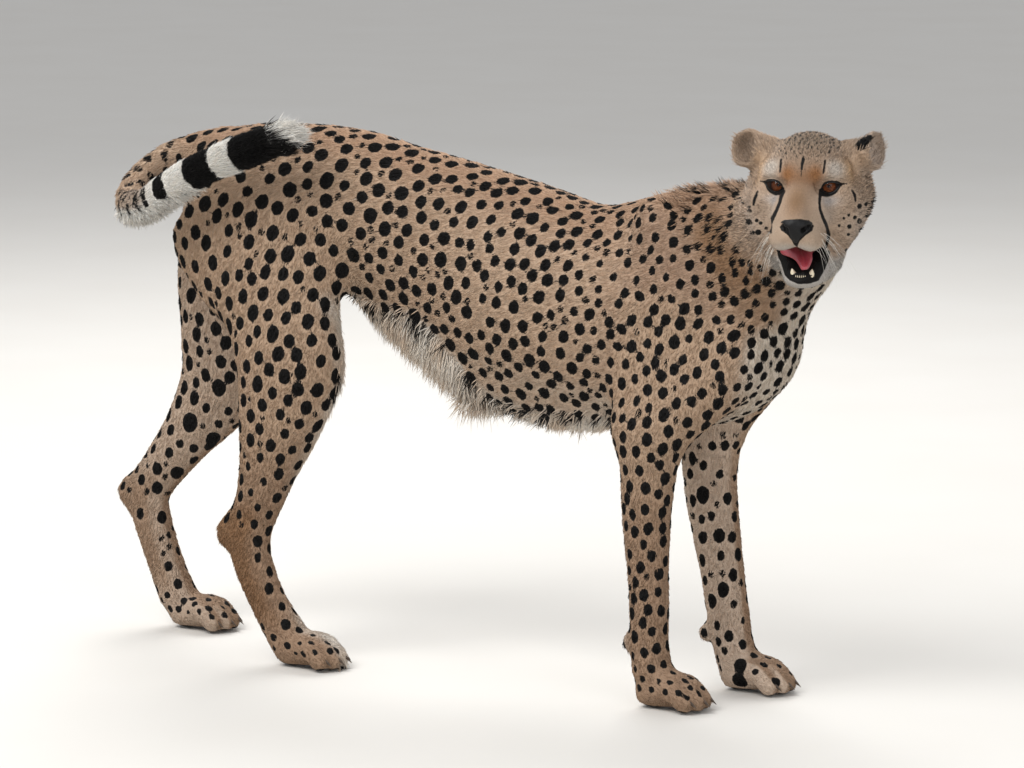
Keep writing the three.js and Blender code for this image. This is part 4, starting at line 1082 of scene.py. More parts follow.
def hair_mesh(name, hair, rings):
    """One mesh of tapered tufts, each three-sided and closed, with its root under the skin."""
    count = len(hair["root"])
    lie, normal = hair["lie"], hair["normal"]
    side = unit(np.cross(normal, lie))
    lift = np.radians(hair["lift"])[:, None]
    forward = lie * np.cos(lift) + normal * np.sin(lift)
    length = hair["length"][:, None] * MM
    half = hair["width"][:, None] * MM / 2
    points = []
    for t, size in rings:
        middle = hair["root"] + forward * length * t + hair["curl"] * length * t * t
        if t == 0:
            middle = middle - normal * ROOT_DEPTH
        ridge = normal * half * 0.8 * size * (2.2 if t == 0 else 1)
        points += [middle + side * half * size, middle - side * half * size, middle + ridge]
    points.append(hair["root"] + forward * length + hair["curl"] * length)
    points = np.stack(points, axis=1)
    points[:, :, 2] = np.maximum(points[:, :, 2], LOWEST)
    tip = 3 * len(rings)
    last = tip - 3
    faces = [(0, 1, 2)]
    for k in range(0, last, 3):
        for i, j in ((0, 2), (2, 1), (1, 0)):
            faces += [(k + i, k + j, k + j + 3), (k + i, k + j + 3, k + i + 3)]
    faces += [(last, last + 2, tip), (last + 2, last + 1, tip), (last + 1, last, tip)]
    start = np.arange(count) * (tip + 1)
    triangles = (np.array(faces)[None] + start[:, None, None]).reshape(-1, 3)
    mesh = triangle_mesh(name, points.reshape(-1, 3), triangles)
    along = np.array([t for t, _ in rings for _ in range(3)] + [1.0])

    # Each tuft has its own small patch of the skin's unwrap, for its colours.
    across = np.array([-0.5, 0.5, 0.0] * len(rings) + [0.0])
    patch = hair["uv"][:, None] + np.stack([across, along], axis=1)[None] * UV_PATCH
    store(mesh.uv_layers.new(name="OFBake").data, "uv", patch.reshape(-1, 2)[triangles.ravel()])

    # Painted shade and painted light: each tuft is darker towards its root, deep in the coat, and
    # paler at its tip, where light would pass through it.
    depth = HAIR_PAINTED_SHADING[0] + HAIR_PAINTED_SHADING[1] * along
    depth[-1] = HAIR_PAINTED_SHADING[2]
    tint = np.ones((count, tip + 1, 4), np.float32)
    tint[:, :, :3] = hair["tint"][:, None] * depth[None, :, None]
    store(mesh.color_attributes.new("tint", "FLOAT_COLOR", "POINT").data, "color", tint)
    mark = hair["mark"][:, :1] + (hair["mark"][:, 1:] - hair["mark"][:, :1]) * along[None]
    store(mesh.attributes.new("mark", "FLOAT", "POINT").data, "value", mark)
    return mesh


class Coat:
    """Grows tufts from the skin."""

    def __init__(self, skin, lie, marks):
        self.skin, self.lie, self.marks = skin, lie, marks
        mesh = skin.ob.data
        self.corners = corners_of(mesh)
        self.uv = read(mesh.uv_layers["OFBake"].data, "uv", 2).reshape(-1, 3, 2)
        p = skin.points[self.corners]
        self.area = np.linalg.norm(np.cross(p[:, 1] - p[:, 0], p[:, 2] - p[:, 0]), axis=1) / 2
        self.part = skin.part[self.corners[:, 0]]
        self.middle = p.mean(axis=1)

    def roots(self, faces, density):
        """Evenly drawn places on some triangles: a triangle each, and its corners' weights."""
        expect = self.area[faces] * 1e4 * density[self.corners[faces]].mean(axis=1)
        running = np.cumsum(expect)
        count = int(running[-1])
        drawn = (np.arange(count) + chance.random(count)) * running[-1] / count
        pick = np.minimum(np.searchsorted(running, drawn), len(faces) - 1)
        u, v = np.sqrt(chance.random(count)), chance.random(count)
        return faces[pick], np.stack([1 - u, u * (1 - v), u * v], axis=1)

    def grow(self, name, faces, density, sizes, rings=SHORT, slot="fur", spread_lie=0.16,
             curl=(0, 0, 0)):
        """Tufts on the chosen triangles. Density is per square centimetre at each vertex."""
        chosen, weight = self.roots(faces, density)
        corners = self.corners[chosen]
        count = len(chosen)

        def at(values):
            w = weight.reshape(weight.shape + (1,) * (values.ndim - 1))
            return (values[corners] * w).sum(axis=1)

        root = at(self.skin.points)
        normal = unit(at(self.skin.normals))
        lie = at(self.lie)
        lie = unit(lie - normal * dot(lie, normal)[:, None])
        turn = chance.normal(0, spread_lie, count) + ripple(root, 0.03, 21) * spread_lie
        lie = lie * np.cos(turn)[:, None] + np.cross(normal, lie) * np.sin(turn)[:, None]
        share = at(self.skin.share)
        length = at(sizes["length"]) * chance.uniform(0.72, 1.2, count)
        if rings is SHORT:
            # Hair is laid short where a mark begins, so that the mark keeps its outline.
            close = self.marks.black(root + 0.5 * lie * length[:, None] * MM)
            length *= 0.55 + 0.45 * ramp(0.5, 5.0, abs(close))
        step = lie * length[:, None] * MM
        upper = root + 0.55 * step
        low = tip = self.marks.black(root + 0.05 * step)
        broader = 0
        if rings is SHORT:
            # A tuft that would cross a mark, or reach from one mark into the next, ends half way.
            half, tip = (self.marks.black(root + t * step) for t in (0.5, 1.0))
            cut = ((low < 0) == (tip < 0)) & ((half < 0) != (low < 0))
            length = np.where(cut, 0.5 * length, length)
            tip = np.where(cut, half, tip)
            # The skin doesn't carry the small marks, so their own hair is broad, to fill them.
            broader = 0.9 * (self.marks.small.off(root, 1) < 1.2)
        mark = np.stack([low, tip], axis=1) + chance.normal(0, 0.3, count)[:, None]
        hair = {
            "root": root, "normal": normal, "lie": lie, "length": length, "mark": mark,
            "tint": self.tint(root, upper, normal, share),
            "width": at(sizes["width"]) * chance.uniform(0.8, 1.2, count) * (1 + broader),
            "lift": at(sizes["lift"]) * chance.uniform(0.6, 1.4, count),
            "curl": np.asarray(curl, float)[None] + chance.normal(0, 0.05, (count, 3)),
            "uv": (self.uv[chosen] * weight[:, :, None]).sum(axis=1),
        }
        ob = new_object(name, hair_mesh(name, hair, rings))
        ob.data.materials.append(materials["hair"])
        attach(ob, "root")

    def tint(self, root, upper, normal, share):
        """Each tuft's colour: the ground, peppered and in clumps, with some dark hairs."""
        count = len(root)
        # The face is the most mottled, with short clumps and one dark hair in nine.
        face = share_of(share, "head", "jaw", "nose")
        clumps = (0.03 + 0.05 * face) * ripple(root, 0.012, 31)
        clumps += (0.02 + 0.26 * face) * ripple(root, 0.004, 32)
        value = (1 + chance.normal(0, 1, count) * (0.07 + 0.2 * face)) * (1 + clumps)
        value *= np.where(chance.random(count) < 0.11 * face, 0.45, 1)
        warmth = chance.normal(0, 0.02, count)
        colour = ground(upper, normal, share)
        colour = blend(colour, paint(BROWN), 0.28 * ramp(2.4, -1.2, self.marks.brown(upper)))
        colour = colour * (value[:, None] + warmth[:, None] * np.array([1, 0, -1]))
        return np.clip(colour, 0.002, 1)


def bare_places(skin):
    """1 where no hair grows: over the eyes, in the mouth and nostrils, under the paws."""
    head = in_head(skin.points)
    bare = np.zeros(len(head))
    for side in SIDES:
        x, y, z = in_eye(head, side).T
        near = (z > 0) & (np.hypot(x, y) < LID_REACH)
        bare = np.maximum(bare, ramp(3.4, 2.2, off_lids(x, y)) * near)
    bare = np.maximum(bare, ramp(3.2, 1.6, in_mouth(head)) * (head[:, 2] < -70))
    pad = (polygon_off(head[:, 1], head[:, 2], NOSE_PAD) < 1) & (head[:, 0] > NOSE_BACK)
    return np.maximum(bare, pad | (skin.points[:, 2] < SOLE))


def grow_coat(coat, skin):
    """The short coat: one piece for each part, and two for the chest and for the loin."""
    a, _, c = in_head(skin.points).T
    belly = pale_belly(skin.points)
    sizes = {what: skin.each(what) for what in ("length", "width", "lift")}
    on_head = skin.of("head", "jaw", "nose")
    back = ramp(0, -62, a) * on_head
    muzzle = ramp(-5, 30, a) * on_head
    crown = ramp(24, 40, c) * ramp(16, -10, a) * on_head
    sizes["length"] += 5 * back * ramp(40, -20, c)
    sizes["length"] -= 2.4 * muzzle
    sizes["width"] += 0.3 * back
    sizes["width"] -= 0.12 * muzzle
    sizes["length"] += 2.4 * crown
    sizes["lift"] += 6 * belly + 13 * crown
    density = skin.each("tufts") * (1 - bare_places(skin)) * (1 - 0.25 * back)
    pieces = {}
    for k, name in enumerate(PARTS):
        faces = np.nonzero(coat.part == k)[0]
        if name in ("chest", "loin"):
            right = coat.middle[faces, 1] < MIDLINE
            pieces[f"coat_{name}_right"] = faces[right]
            pieces[f"coat_{name}_left"] = faces[~right]
        elif name == "nose":
            nose = faces
        else:
            pieces[f"coat_{name}"] = faces
    pieces["coat_head"] = np.concatenate([pieces["coat_head"], nose])
    for name, faces in pieces.items():
        pale = any(word in name for word in ("jaw", "paw", "tail_tip"))
        coat.grow(name, faces, density, sizes, slot="pale_fur" if pale else "fur")


def grow_long_hair(coat, skin, lie):
    """Locks where the hair is long: belly, nape, tail end, ears and the back of the cheeks."""
    a, b, c = in_head(skin.points).T
    x = skin.points[:, 0]
    up = skin.normals[:, 2]
    every = np.arange(len(coat.corners))
    even = np.zeros(len(x))

    def locks(name, density, length, width, lift, slot, spread_lie, curl):
        sizes = {"length": length + even, "width": width + even, "lift": lift + even}
        coat.grow(name, every, density, sizes, LONG, slot, spread_lie, curl)

    belly = pale_belly(skin.points) * ramp(0.4, -0.1, up)
    belly *= ramp(-0.20, -0.14, x) * ramp(0.26, 0.20, x)
    hang = lie.copy()
    lie[:] = unit(blend(hang, np.array([-0.32, 0, -1.0]), np.clip(belly * 1.3, 0, 1)))
    length = 15 + 25 * np.sin(np.pi * np.clip((x + 0.18) / 0.36, 0, 1)) * belly
    locks("belly_hair", 11.5 * (belly > 0.12) * belly, length, 1.6, 15, "pale_fur", 0.26,
          (-0.06, 0, -0.25))
    lie[:] = hang

    nape = ramp(0.30, 0.36, x) * ramp(0.52, 0.47, x) * ramp(0.70, 0.92, up)
    nape *= (skin.of("neck", "chest", "leg_fore") > 0.5)
    locks("nape_hair", 16 * nape, 17, 1.3, 36, "fur", 0.3, (0, 0, -0.06))

    place, _, tail_way = along_tail(skin.points)
    tip = ramp(0.475, 0.505, place) * skin.of("tail")
    facing = ramp(0.2, 0.95, dot(skin.normals, tail_way))
    locks("tail_end_hair", 52 * tip, 24 + 9 * tip, 1.15, 13 + 24 * facing, "pale_fur", 0.12,
          (0.10, 0, -0.06))
    below = ramp(0.15, 0.19, place) * ramp(0.36, 0.30, place) * ramp(-0.35, -0.8, up)
    locks("tail_fringe", 20 * below * skin.of("tail"), 15, 1.3, 24, "pale_fur", 0.3,
          (0, 0, -0.35))

    cheek = skin.of("head", "jaw", "neck") * ramp(-38, -60, a) * ramp(30, 0, c) * (a > -120)
    cheek *= ramp(45, 60, abs(b)) * (c > -110)
    locks("cheek_hair", 12 * cheek, 12, 1.1, 8, "fur", 0.16, (0, 0, -0.12))

    for side in SIDES.values():
        ear = skin.of(f"ear_{side}")
        inside = ear * (skin.normals @ FORWARD > -0.2) * ramp(26, 14, abs(c - 34))
        locks(f"ear_{side}_hair", 10 * inside * (ear > 0.6), 11, 1.1, 15, "fur", 0.25, (0, 0, 0))


# ------------------------------------------------------------------ eyes, nose, mouth, claws

IRIS = 9.8
PUPIL = 1.7
IRIS_DISH = 13.9  # how far the rim of the iris lies in front of the eye's middle
CORNEA_RADIUS = 10.6
CORNEA_MIDDLE = 8.0
CAMERA_AT = Vector((3.309, -6.067, 1.512))
GAZE = {RIGHT: (1.3, -3.5), LEFT: (-7.8, -3.5)}  # degrees to its left and up, off the camera
WHISKER_RADIUS = 0.21


def finish_piece(ob, material, replaced=()):
    ob.data.materials.clear()
    ob.data.materials.append(materials[material])
    shade_smooth(ob.data)
    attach(ob, "root")
    if replaced:
        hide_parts(*replaced)


def from_bmesh(name, bm):
    mesh = bpy.data.meshes.new(name)
    bmesh.ops.recalc_face_normals(bm, faces=bm.faces)
    bm.to_mesh(mesh)
    bm.free()
    return new_object(name, mesh)


def ring_at(middle, across, up, count):
    """Points round a middle, on the ellipse that two half axes span."""
    turns = [math.tau * k / count for k in range(count)]
    return [middle + across * math.cos(turn) + up * math.sin(turn) for turn in turns]


def join_rings(bm, rings, loop=False):
    """Walls between neighbouring rings of points, capped at both ends or closed to a loop."""
    rings = [[bm.verts.new(p) for p in ring] for ring in rings]
    if loop:
        rings.append(rings[0])
    else:
        bm.faces.new(rings[0])
        bm.faces.new(rings[-1])
    for before, ring in zip(rings, rings[1:]):
        for j in range(len(ring)):
            k = (j + 1) % len(ring)
            bm.faces.new((before[j], before[k], ring[k], ring[j]))


def make_eye(side, name):
    """An eyeball with a dished iris, looking at the camera, under a clear cornea."""
    middle, _ = eye_frame(side)
    centre = Vector(from_head(middle))
    left, up = (math.radians(angle) for angle in GAZE[side])
    gaze = Vector(unit(np.array((CAMERA_AT - centre).normalized()) + left * LEFTWARD + up * UPWARD))
    turn = gaze.to_track_quat("Z", "Y").to_matrix().to_4x4()
    place = Matrix.Translation(centre) @ turn @ Matrix.Scale(MM, 4)

    bm = bmesh.new()
    bmesh.ops.create_uvsphere(bm, u_segments=64, v_segments=48, radius=EYE_RADIUS)
    for v in bm.verts:
        out = math.hypot(v.co.x, v.co.y)
        if v.co.z > 0 and out < IRIS + 0.6:
            v.co.z = IRIS_DISH - 1.1 * (1 - (out / (IRIS + 0.6)) ** 2) - 0.4 * (out < PUPIL - 0.3)
    white = (1.0, 0.0)
    iris = [(v.co.x / EYE_RADIUS, v.co.y / EYE_RADIUS) if v.co.z > 0 else white for v in bm.verts]
    bm.transform(place)
    ball = from_bmesh(name + "ball", bm)
    corner = read(ball.data.loops, "vertex_index", 1, np.int32)[:, 0]
    store(ball.data.uv_layers.new(name="iris").data, "uv", np.array(iris)[corner])
    finish_piece(ball, "eye", [name])

    bm = bmesh.new()
    bmesh.ops.create_uvsphere(bm, u_segments=48, v_segments=48, radius=CORNEA_RADIUS)
    back = [v for v in bm.verts if v.co.z < 4.2]
    bmesh.ops.delete(bm, geom=back, context="VERTS")
    bmesh.ops.holes_fill(bm, edges=[e for e in bm.edges if e.is_boundary], sides=0)
    bmesh.ops.translate(bm, verts=bm.verts, vec=(0, 0, CORNEA_MIDDLE))
    bm.transform(place)
    finish_piece(from_bmesh(name + "_cornea", bm), "cornea")


def make_lid_margin(side, name):
    """The dark wet edge of the lids, a soft tube along their opening."""
    middle, axes = eye_frame(side)
    out = EYE_RADIUS + 0.75
    count = 56
    line = []
    for k in range(count):
        t = (1 - math.cos(math.tau * k / count)) / 2
        low, high = lid_lines(np.array(t))
        x = INNER[0] + (OUTER[0] - INNER[0]) * t
        y = float(high if k < count / 2 else low)
        z = math.sqrt(max(out ** 2 - math.hypot(x, y) ** 2, 1))
        line.append(np.array([x, y, z]))
    rings = []
    for k, centre in enumerate(line):
        along = unit(line[(k + 1) % count] - line[k - 1])
        outward = unit(centre)
        ring = ring_at(centre, 1.25 * np.cross(along, outward), outward, 8)
        rings.append([from_head(middle + p @ axes) for p in ring])
    bm = bmesh.new()
    join_rings(bm, rings, loop=True)
    finish_piece(from_bmesh(f"{name}_lids", bm), "wet_skin")


def make_nose():
    """The bare nose, drawn in towards its pointed lower end between the nostrils."""
    nose = swollen_copy("nose_leather", ["nose"], 0.9 * MM, 0.9 * MM)
    soften(nose, 14)
    head = in_head(points_of(nose.data))
    a, b, c = head.T
    heights = (-80, -76, -68, -61, -54, -48, -38)
    narrow = np.interp(c, heights, (0.12, 0.22, 0.36, 0.68, 0.93, 0.97, 0.95))
    head[:, 1] = (b - 0.3) * narrow + np.interp(c, heights, (3.2, 3.2, 3.4, 3.4, 3.0, 2.0, 2.0))
    head[:, 0] = a - 6 * ramp(-66, -80, c)
    move_points(nose.data, from_head(head))
    finish_piece(nose, "leather")


def make_tongue():
    """The tongue, with a groove along it, narrowing towards its tip."""
    tongue = swollen_copy("tongue_flesh", ["tongue"], 0.0, 1.1 * MM)
    soften(tongue, 12)
    points = points_of(tongue.data)
    head = in_head(points)
    groove = np.exp(-((head[:, 1] + 4) / 3.2) ** 2) * ramp(-20, 10, head[:, 0])
    top = ramp(-0.2, 0.6, normals_of(tongue.data)[:, 2])
    head[:, 2] -= 1.6 * groove * top
    reach = ramp(-2, 42, head[:, 0])
    head[:, 1] = head[:, 1] * (1 - 0.42 * reach) + 14 * reach
    head[:, 1] -= 11 * (1 - reach) * ramp(-4, -16, head[:, 1])
    head[:, 2] -= 8 * ramp(12, 44, head[:, 0])
    move_points(tongue.data, from_head(head))
    finish_piece(tongue, "tongue", ["tongue"])


def tooth(bm, root, tip, radius, bend):
    """A tooth in the head's frame, tapering along a curve from its root to its tip."""
    root, tip = np.array(root, float), np.array(tip, float)
    axis = unit(tip - root)
    side = unit(np.cross(axis, [1.0, 0, 0.2]))
    front = np.cross(side, axis)
    rings = []
    for t in np.linspace(0, 1, 9):
        size = radius * (1 - 0.92 * t ** 1.6)
        middle = root + (tip - root) * t + front * bend * math.sin(math.pi * t)
        ring = ring_at(middle, 0.85 * size * side, size * front, 12)
        rings.append([from_head(p) for p in ring])
    join_rings(bm, rings)


def make_teeth():
    """The two lower canines and the six front teeth between them."""
    bm = bmesh.new()
    for side in SIDES:
        b = JAW_SLIP + 2.5
        tooth(bm, (28, b + side * 11.5, -122), (33, b + side * 13.5, -110), 7.2, 0.9)
    finish_piece(from_bmesh("canine_teeth", bm), "enamel")
    bm = bmesh.new()
    for place in (-2.5, -1.5, -0.5, 0.5, 1.5, 2.5):
        b = JAW_SLIP + 1.5 + place * 2.5
        forward = 1.0 - 0.16 * place ** 2
        tooth(bm, (36 + forward, b, -125), (39 + forward, b, -117.5), 1.6, 0.2)
    finish_piece(from_bmesh("front_teeth", bm), "enamel")


# Each paw's middle on the floor, and its four toes: sideways from it and how far they reach.
PAWS = {"fore_right": (0.349, -0.0463), "fore_left": (0.405, 0.1077),
        "hind_right": (-0.225, -0.0463), "hind_left": (-0.499, 0.1117)}
TOES = {-26: 48, -9.5: 60, 9.5: 60, 26: 48}
CLAW_RADIUS = 3.0
CLAW_ROOT = 18.5  # height over the floor


def make_claws():
    """Blunt claws, flat-sided and bent down, that don't draw in as other cats' do."""
    for name, (x, y) in PAWS.items():
        bm = bmesh.new()
        for toe, reach in TOES.items():
            root = np.array([x / MM + reach - 4, y / MM + toe * 1.05, CLAW_ROOT])
            rings = []
            for t in np.linspace(0, 1, 8):
                size = CLAW_RADIUS * (1 - 0.9 * t ** 1.5)
                middle = root + np.array([14.0 * t, 0, -2.5 * t - 6.0 * t * t])
                across, up = np.array([0, 0.62, 0]), np.array([0.3, 0, 1])
                rings.append([p * MM for p in ring_at(middle, size * across, size * up, 10)])
            join_rings(bm, rings)
        finish_piece(from_bmesh("claws_" + name, bm), "horn")


def whisker(bm, root, way, bend, length, radius):
    side = unit(np.cross(way, bend))
    up = np.cross(side, way)
    rings = []
    for t in np.linspace(0, 1, 10):
        middle = root + length * (way * t + bend * t * t * 0.7)
        size = radius * (1 - 0.88 * t)
        rings.append(ring_at(middle, size * side, size * up, 5))
    join_rings(bm, rings)


def make_whiskers(skin):
    """Long white hairs in four rows on the pads of the upper lip."""
    tree = BVHTree.FromObject(skin.ob, bpy.context.evaluated_depsgraph_get())
    bm = bmesh.new()
    for side in SIDES:
        for row in range(4):
            for k in range(4):
                spot = from_head((50 - 8.5 * k, side * (24 + 2.2 * k), -62 - 4.6 * row))
                root, normal, _, _ = tree.find_nearest(Vector(spot))
                root = np.array(root) - MM * np.array(normal)
                length = (44 + 8 * k - 3 * row) * chance.uniform(0.8, 1.15) * MM
                way = np.array([-0.10 - 0.10 * k, side * 0.62, -0.45 - 0.12 * row])
                way = unit(way + chance.normal(0, 0.12, 3)) @ HEAD_AXES
                bend = np.array([-0.15, -side * 0.25, -0.6]) + chance.normal(0, 0.1, 3)
                whisker(bm, root, way, bend @ HEAD_AXES, length, WHISKER_RADIUS * MM)
    finish_piece(from_bmesh("whiskers", bm), "whisker")


# ------------------------------------------------------------------ materials


def add(tree, kind, inputs=None, **settings):
    """A node with its settings, its inputs' values, and links from other nodes' sockets."""
    node = tree.nodes.new(kind)
    for name, value in settings.items():
        setattr(node, name, value)
    for name, value in (inputs or {}).items():
        if isinstance(value, bpy.types.NodeSocket):
            tree.links.new(value, node.inputs[name])
        else:
            node.inputs[name].default_value = value
    return node


def rgba(code):
    return (*paint(code), 1.0)


def new_material(name):
    material = bpy.data.materials.new(name)
    material.use_nodes = True
    material.node_tree.nodes.clear()
    return material, material.node_tree


def finish_material(material, inputs):
    """Ends a material in one Principled shader with the given values and links."""
    tree = material.node_tree
    surface = add(tree, "ShaderNodeBsdfPrincipled", inputs)
    add(tree, "ShaderNodeOutputMaterial", {"Surface": surface.outputs["BSDF"]})
    return material


def hair_material():
    # Cat's hair: keratin, matt across and slightly glossy along, with its colour in each tuft.
    material, tree = new_material("cat hair")
    tint = add(tree, "ShaderNodeAttribute", attribute_name="tint")
    mark = add(tree, "ShaderNodeAttribute", attribute_name="mark")
    dark = add(tree, "ShaderNodeMapRange", {"Value": mark.outputs["Fac"], "From Min": 0.6,
                                            "From Max": -0.5}, interpolation_type="SMOOTHSTEP")
    colour = add(tree, "ShaderNodeMix", {"Factor": dark.outputs[0], 6: tint.outputs["Color"],
                                         7: rgba(BLACK)}, data_type="RGBA")
    return finish_material(material, {"Base Color": colour.outputs[2], "Roughness": 0.6,
                                      "Specular IOR Level": 0.18})


def pelt_material():
    # Short close fur seen between the tufts: strands about 1.4 mm apart and a matt finish.
    material, tree = new_material("short fur")
    earth = add(tree, "ShaderNodeAttribute", attribute_name="ground")
    mark = add(tree, "ShaderNodeAttribute", attribute_name="mark")
    place = add(tree, "ShaderNodeTexCoord").outputs["Object"]
    grain = add(tree, "ShaderNodeTexNoise", {"Vector": place, "Scale": 0.7 / MM, "Detail": 3.0})
    rough_edge = add(tree, "ShaderNodeMath", {0: grain.outputs["Fac"], 1: 2.2, 2: -1.1},
                     operation="MULTIPLY_ADD")
    off = add(tree, "ShaderNodeMath", {0: mark.outputs["Fac"], 1: rough_edge.outputs[0]},
              operation="ADD")
    dark = add(tree, "ShaderNodeMapRange", {"Value": off.outputs[0], "From Min": 0.7,
                                            "From Max": -0.5}, interpolation_type="SMOOTHSTEP")
    # Painted shade: the grain darkens the ground colour to between 0.62 and 0.98 of itself, most
    # where its bump lies lowest, between the strands.
    shade = add(tree, "ShaderNodeMapRange", {"Value": grain.outputs["Fac"], "To Min": 0.62,
                                             "To Max": 0.98})
    deep = add(tree, "ShaderNodeVectorMath", {0: earth.outputs["Color"],
                                              "Scale": shade.outputs[0]}, operation="SCALE")
    colour = add(tree, "ShaderNodeMix", {"Factor": dark.outputs[0], 6: deep.outputs[0],
                                         7: rgba(BLACK)}, data_type="RGBA")
    bump = add(tree, "ShaderNodeBump", {"Height": grain.outputs["Fac"], "Strength": 0.5,
                                        "Distance": 0.8 * MM})
    return finish_material(material, {"Base Color": colour.outputs[2], "Roughness": 0.72,
                                      "Specular IOR Level": 0.2, "Normal": bump.outputs[0]})


def bare_skin_material(name, colour, roughness, pebbles, height, wet):
    # Hairless skin: pebbled, so many pebbles to a millimetre, and slightly greasy or wet.
    material, tree = new_material(name)
    place = add(tree, "ShaderNodeTexCoord").outputs["Object"]
    cells = add(tree, "ShaderNodeTexVoronoi", {"Vector": place, "Scale": pebbles / MM})
    # Painted shade and painted highlight: each pebble is paler at its raised middle and darker in
    # the creases between pebbles, where its bump lies low.
    tone = add(tree, "ShaderNodeMapRange", {"Value": cells.outputs["Distance"], "To Min": 1.25,
                                            "To Max": 0.7})
    mixed = add(tree, "ShaderNodeVectorMath", {0: paint(colour), "Scale": tone.outputs[0]},
                operation="SCALE")
    bump = add(tree, "ShaderNodeBump", {"Height": cells.outputs["Distance"], "Strength": 0.6,
                                        "Distance": height * MM}, invert=True)
    return finish_material(material, {
        "Base Color": mixed.outputs[0], "Roughness": roughness, "Specular IOR Level": 0.25,
        "Coat Weight": wet, "Coat Roughness": 0.15, "Normal": bump.outputs[0]})


def eye_material():
    # A cat's iris: amber brown fibres, a dark rim, a round pupil, and the white of the eye in near
    # black: its own dark brown, darkened further as painted shade.
    material, tree = new_material("iris and white of the eye")
    flat = add(tree, "ShaderNodeUVMap", uv_map="iris")
    out = add(tree, "ShaderNodeVectorMath", {0: flat.outputs["UV"]}, operation="LENGTH")
    place = add(tree, "ShaderNodeTexCoord").outputs["Object"]
    fibres = add(tree, "ShaderNodeTexNoise", {"Vector": place, "Scale": 0.9 / MM, "Detail": 4.0})
    pupil, rim = PUPIL / EYE_RADIUS, IRIS / EYE_RADIUS
    bands = add(tree, "ShaderNodeValToRGB", {"Fac": out.outputs["Value"]})
    # Past the rim of the iris the white of the eye is painted near black, partly its own dark brown
    # and partly painted shade.
    steps = [(0.0, "#030202"), (pupil, "#040303"), (pupil + 0.02, "#5f3014"), (0.30, "#733c19"),
             (0.42, "#663315"), (rim - 0.03, "#45210d"), (rim, "#0c0605"),
             (rim + 0.06, "#120b09"), (0.85, "#2a1d18")]
    while len(bands.color_ramp.elements) < len(steps):
        bands.color_ramp.elements.new(0.5)
    for element, (at, code) in zip(bands.color_ramp.elements, steps):
        element.position = at
        element.color = rgba(code)
    tone = add(tree, "ShaderNodeMapRange", {"Value": fibres.outputs["Fac"], "To Min": 0.5,
                                            "To Max": 1.5})
    mixed = add(tree, "ShaderNodeVectorMath", {0: bands.outputs["Color"],
                                               "Scale": tone.outputs[0]}, operation="SCALE")
    return finish_material(material, {"Base Color": mixed.outputs[0], "Roughness": 0.5,
                                      "Specular IOR Level": 0.1})


def cornea_material():
    # Clear wet cornea.
    material, _ = new_material("cornea")
    return finish_material(material, {"Roughness": 0.02, "IOR": 1.25,
                                      "Transmission Weight": 1.0})


def tongue_material():
    # Wet pink-red flesh with small papillae, 1.4 mm apart.
    material, tree = new_material("tongue")
    place = add(tree, "ShaderNodeTexCoord").outputs["Object"]
    dots = add(tree, "ShaderNodeTexVoronoi", {"Vector": place, "Scale": 0.7 / MM})
    cloud = add(tree, "ShaderNodeTexNoise", {"Vector": place, "Scale": 0.09 / MM})
    colour = add(tree, "ShaderNodeMix", {"Factor": cloud.outputs["Fac"], 6: rgba("#861d2a"),
                                         7: rgba("#b04a55")}, data_type="RGBA")
    bump = add(tree, "ShaderNodeBump", {"Height": dots.outputs["Distance"], "Strength": 0.5,
                                        "Distance": 0.6 * MM}, invert=True)
    return finish_material(material, {
        "Base Color": colour.outputs[2], "Roughness": 0.32, "Coat Weight": 0.4,
        "Coat Roughness": 0.12, "Subsurface Weight": 0.2, "Subsurface Scale": 4 * MM,
        "Normal": bump.outputs[0]})


def streaked_material(name, codes, roughness, streaks, gloss=0.0):
    # Enamel, horn or bristle: two close tones in soft streaks, so many to a millimetre.
    material, tree = new_material(name)
    place = add(tree, "ShaderNodeTexCoord").outputs["Object"]
    streak = add(tree, "ShaderNodeTexNoise", {"Vector": place, "Scale": streaks / MM,
                                              "Detail": 3.0})
    colour = add(tree, "ShaderNodeMix", {"Factor": streak.outputs["Fac"], 6: rgba(codes[0]),
                                         7: rgba(codes[1])}, data_type="RGBA")
    return finish_material(material, {"Base Color": colour.outputs[2], "Roughness": roughness,
                                      "Coat Weight": gloss, "Coat Roughness": 0.1})


materials = {
    "hair": hair_material(),
    "pelt": pelt_material(),
    "leather": bare_skin_material("nose leather", "#030202", 0.42, 1.1, 0.4, 0.05),
    "wet_skin": bare_skin_material("eyelid skin", "#050404", 0.4, 1.4, 0.2, 0.12),
    "eye": eye_material(),
    "cornea": cornea_material(),
    "tongue": tongue_material(),
    "enamel": streaked_material("tooth enamel", ("#e9dfc8", "#cdbb98"), 0.22, 0.22, 0.3),
    "horn": streaked_material("claw horn", ("#2a221c", "#5a4a3c"), 0.35, 0.3),
    "whisker": streaked_material("whisker bristle", ("#f2eee6", "#d8d2c6"), 0.4, 0.2),
}


def paint_skin(skin, marks):
    """Gives the skin the same ground colour and marks as the coat over it."""
    head = in_head(skin.points)
    colour = ground(skin.points, skin.normals, skin.share)
    colour = blend(colour, paint(BROWN), 0.3 * ramp(0.6, -0.8, marks.brown(skin.points)))
    # Painted shade: the walls inside the open mouth are painted near black, over their dark red
    # flesh.
    inside = ramp(3.5, 1.0, in_mouth(head)) * (head[:, 2] < -74) * (head[:, 0] > -50)
    colour = blend(colour, paint(MOUTH), inside)
    mesh = skin.ob.data
    opaque = np.ones((len(colour), 1))
    earth = mesh.color_attributes.new("ground", "FLOAT_COLOR", "POINT")
    store(earth.data, "color", np.hstack([colour, opaque]))
    mark = mesh.attributes.new("mark", "FLOAT", "POINT")
    store(mark.data, "value", marks.black(skin.points, fine=False))
    mesh.materials.clear()
    mesh.materials.append(materials["pelt"])


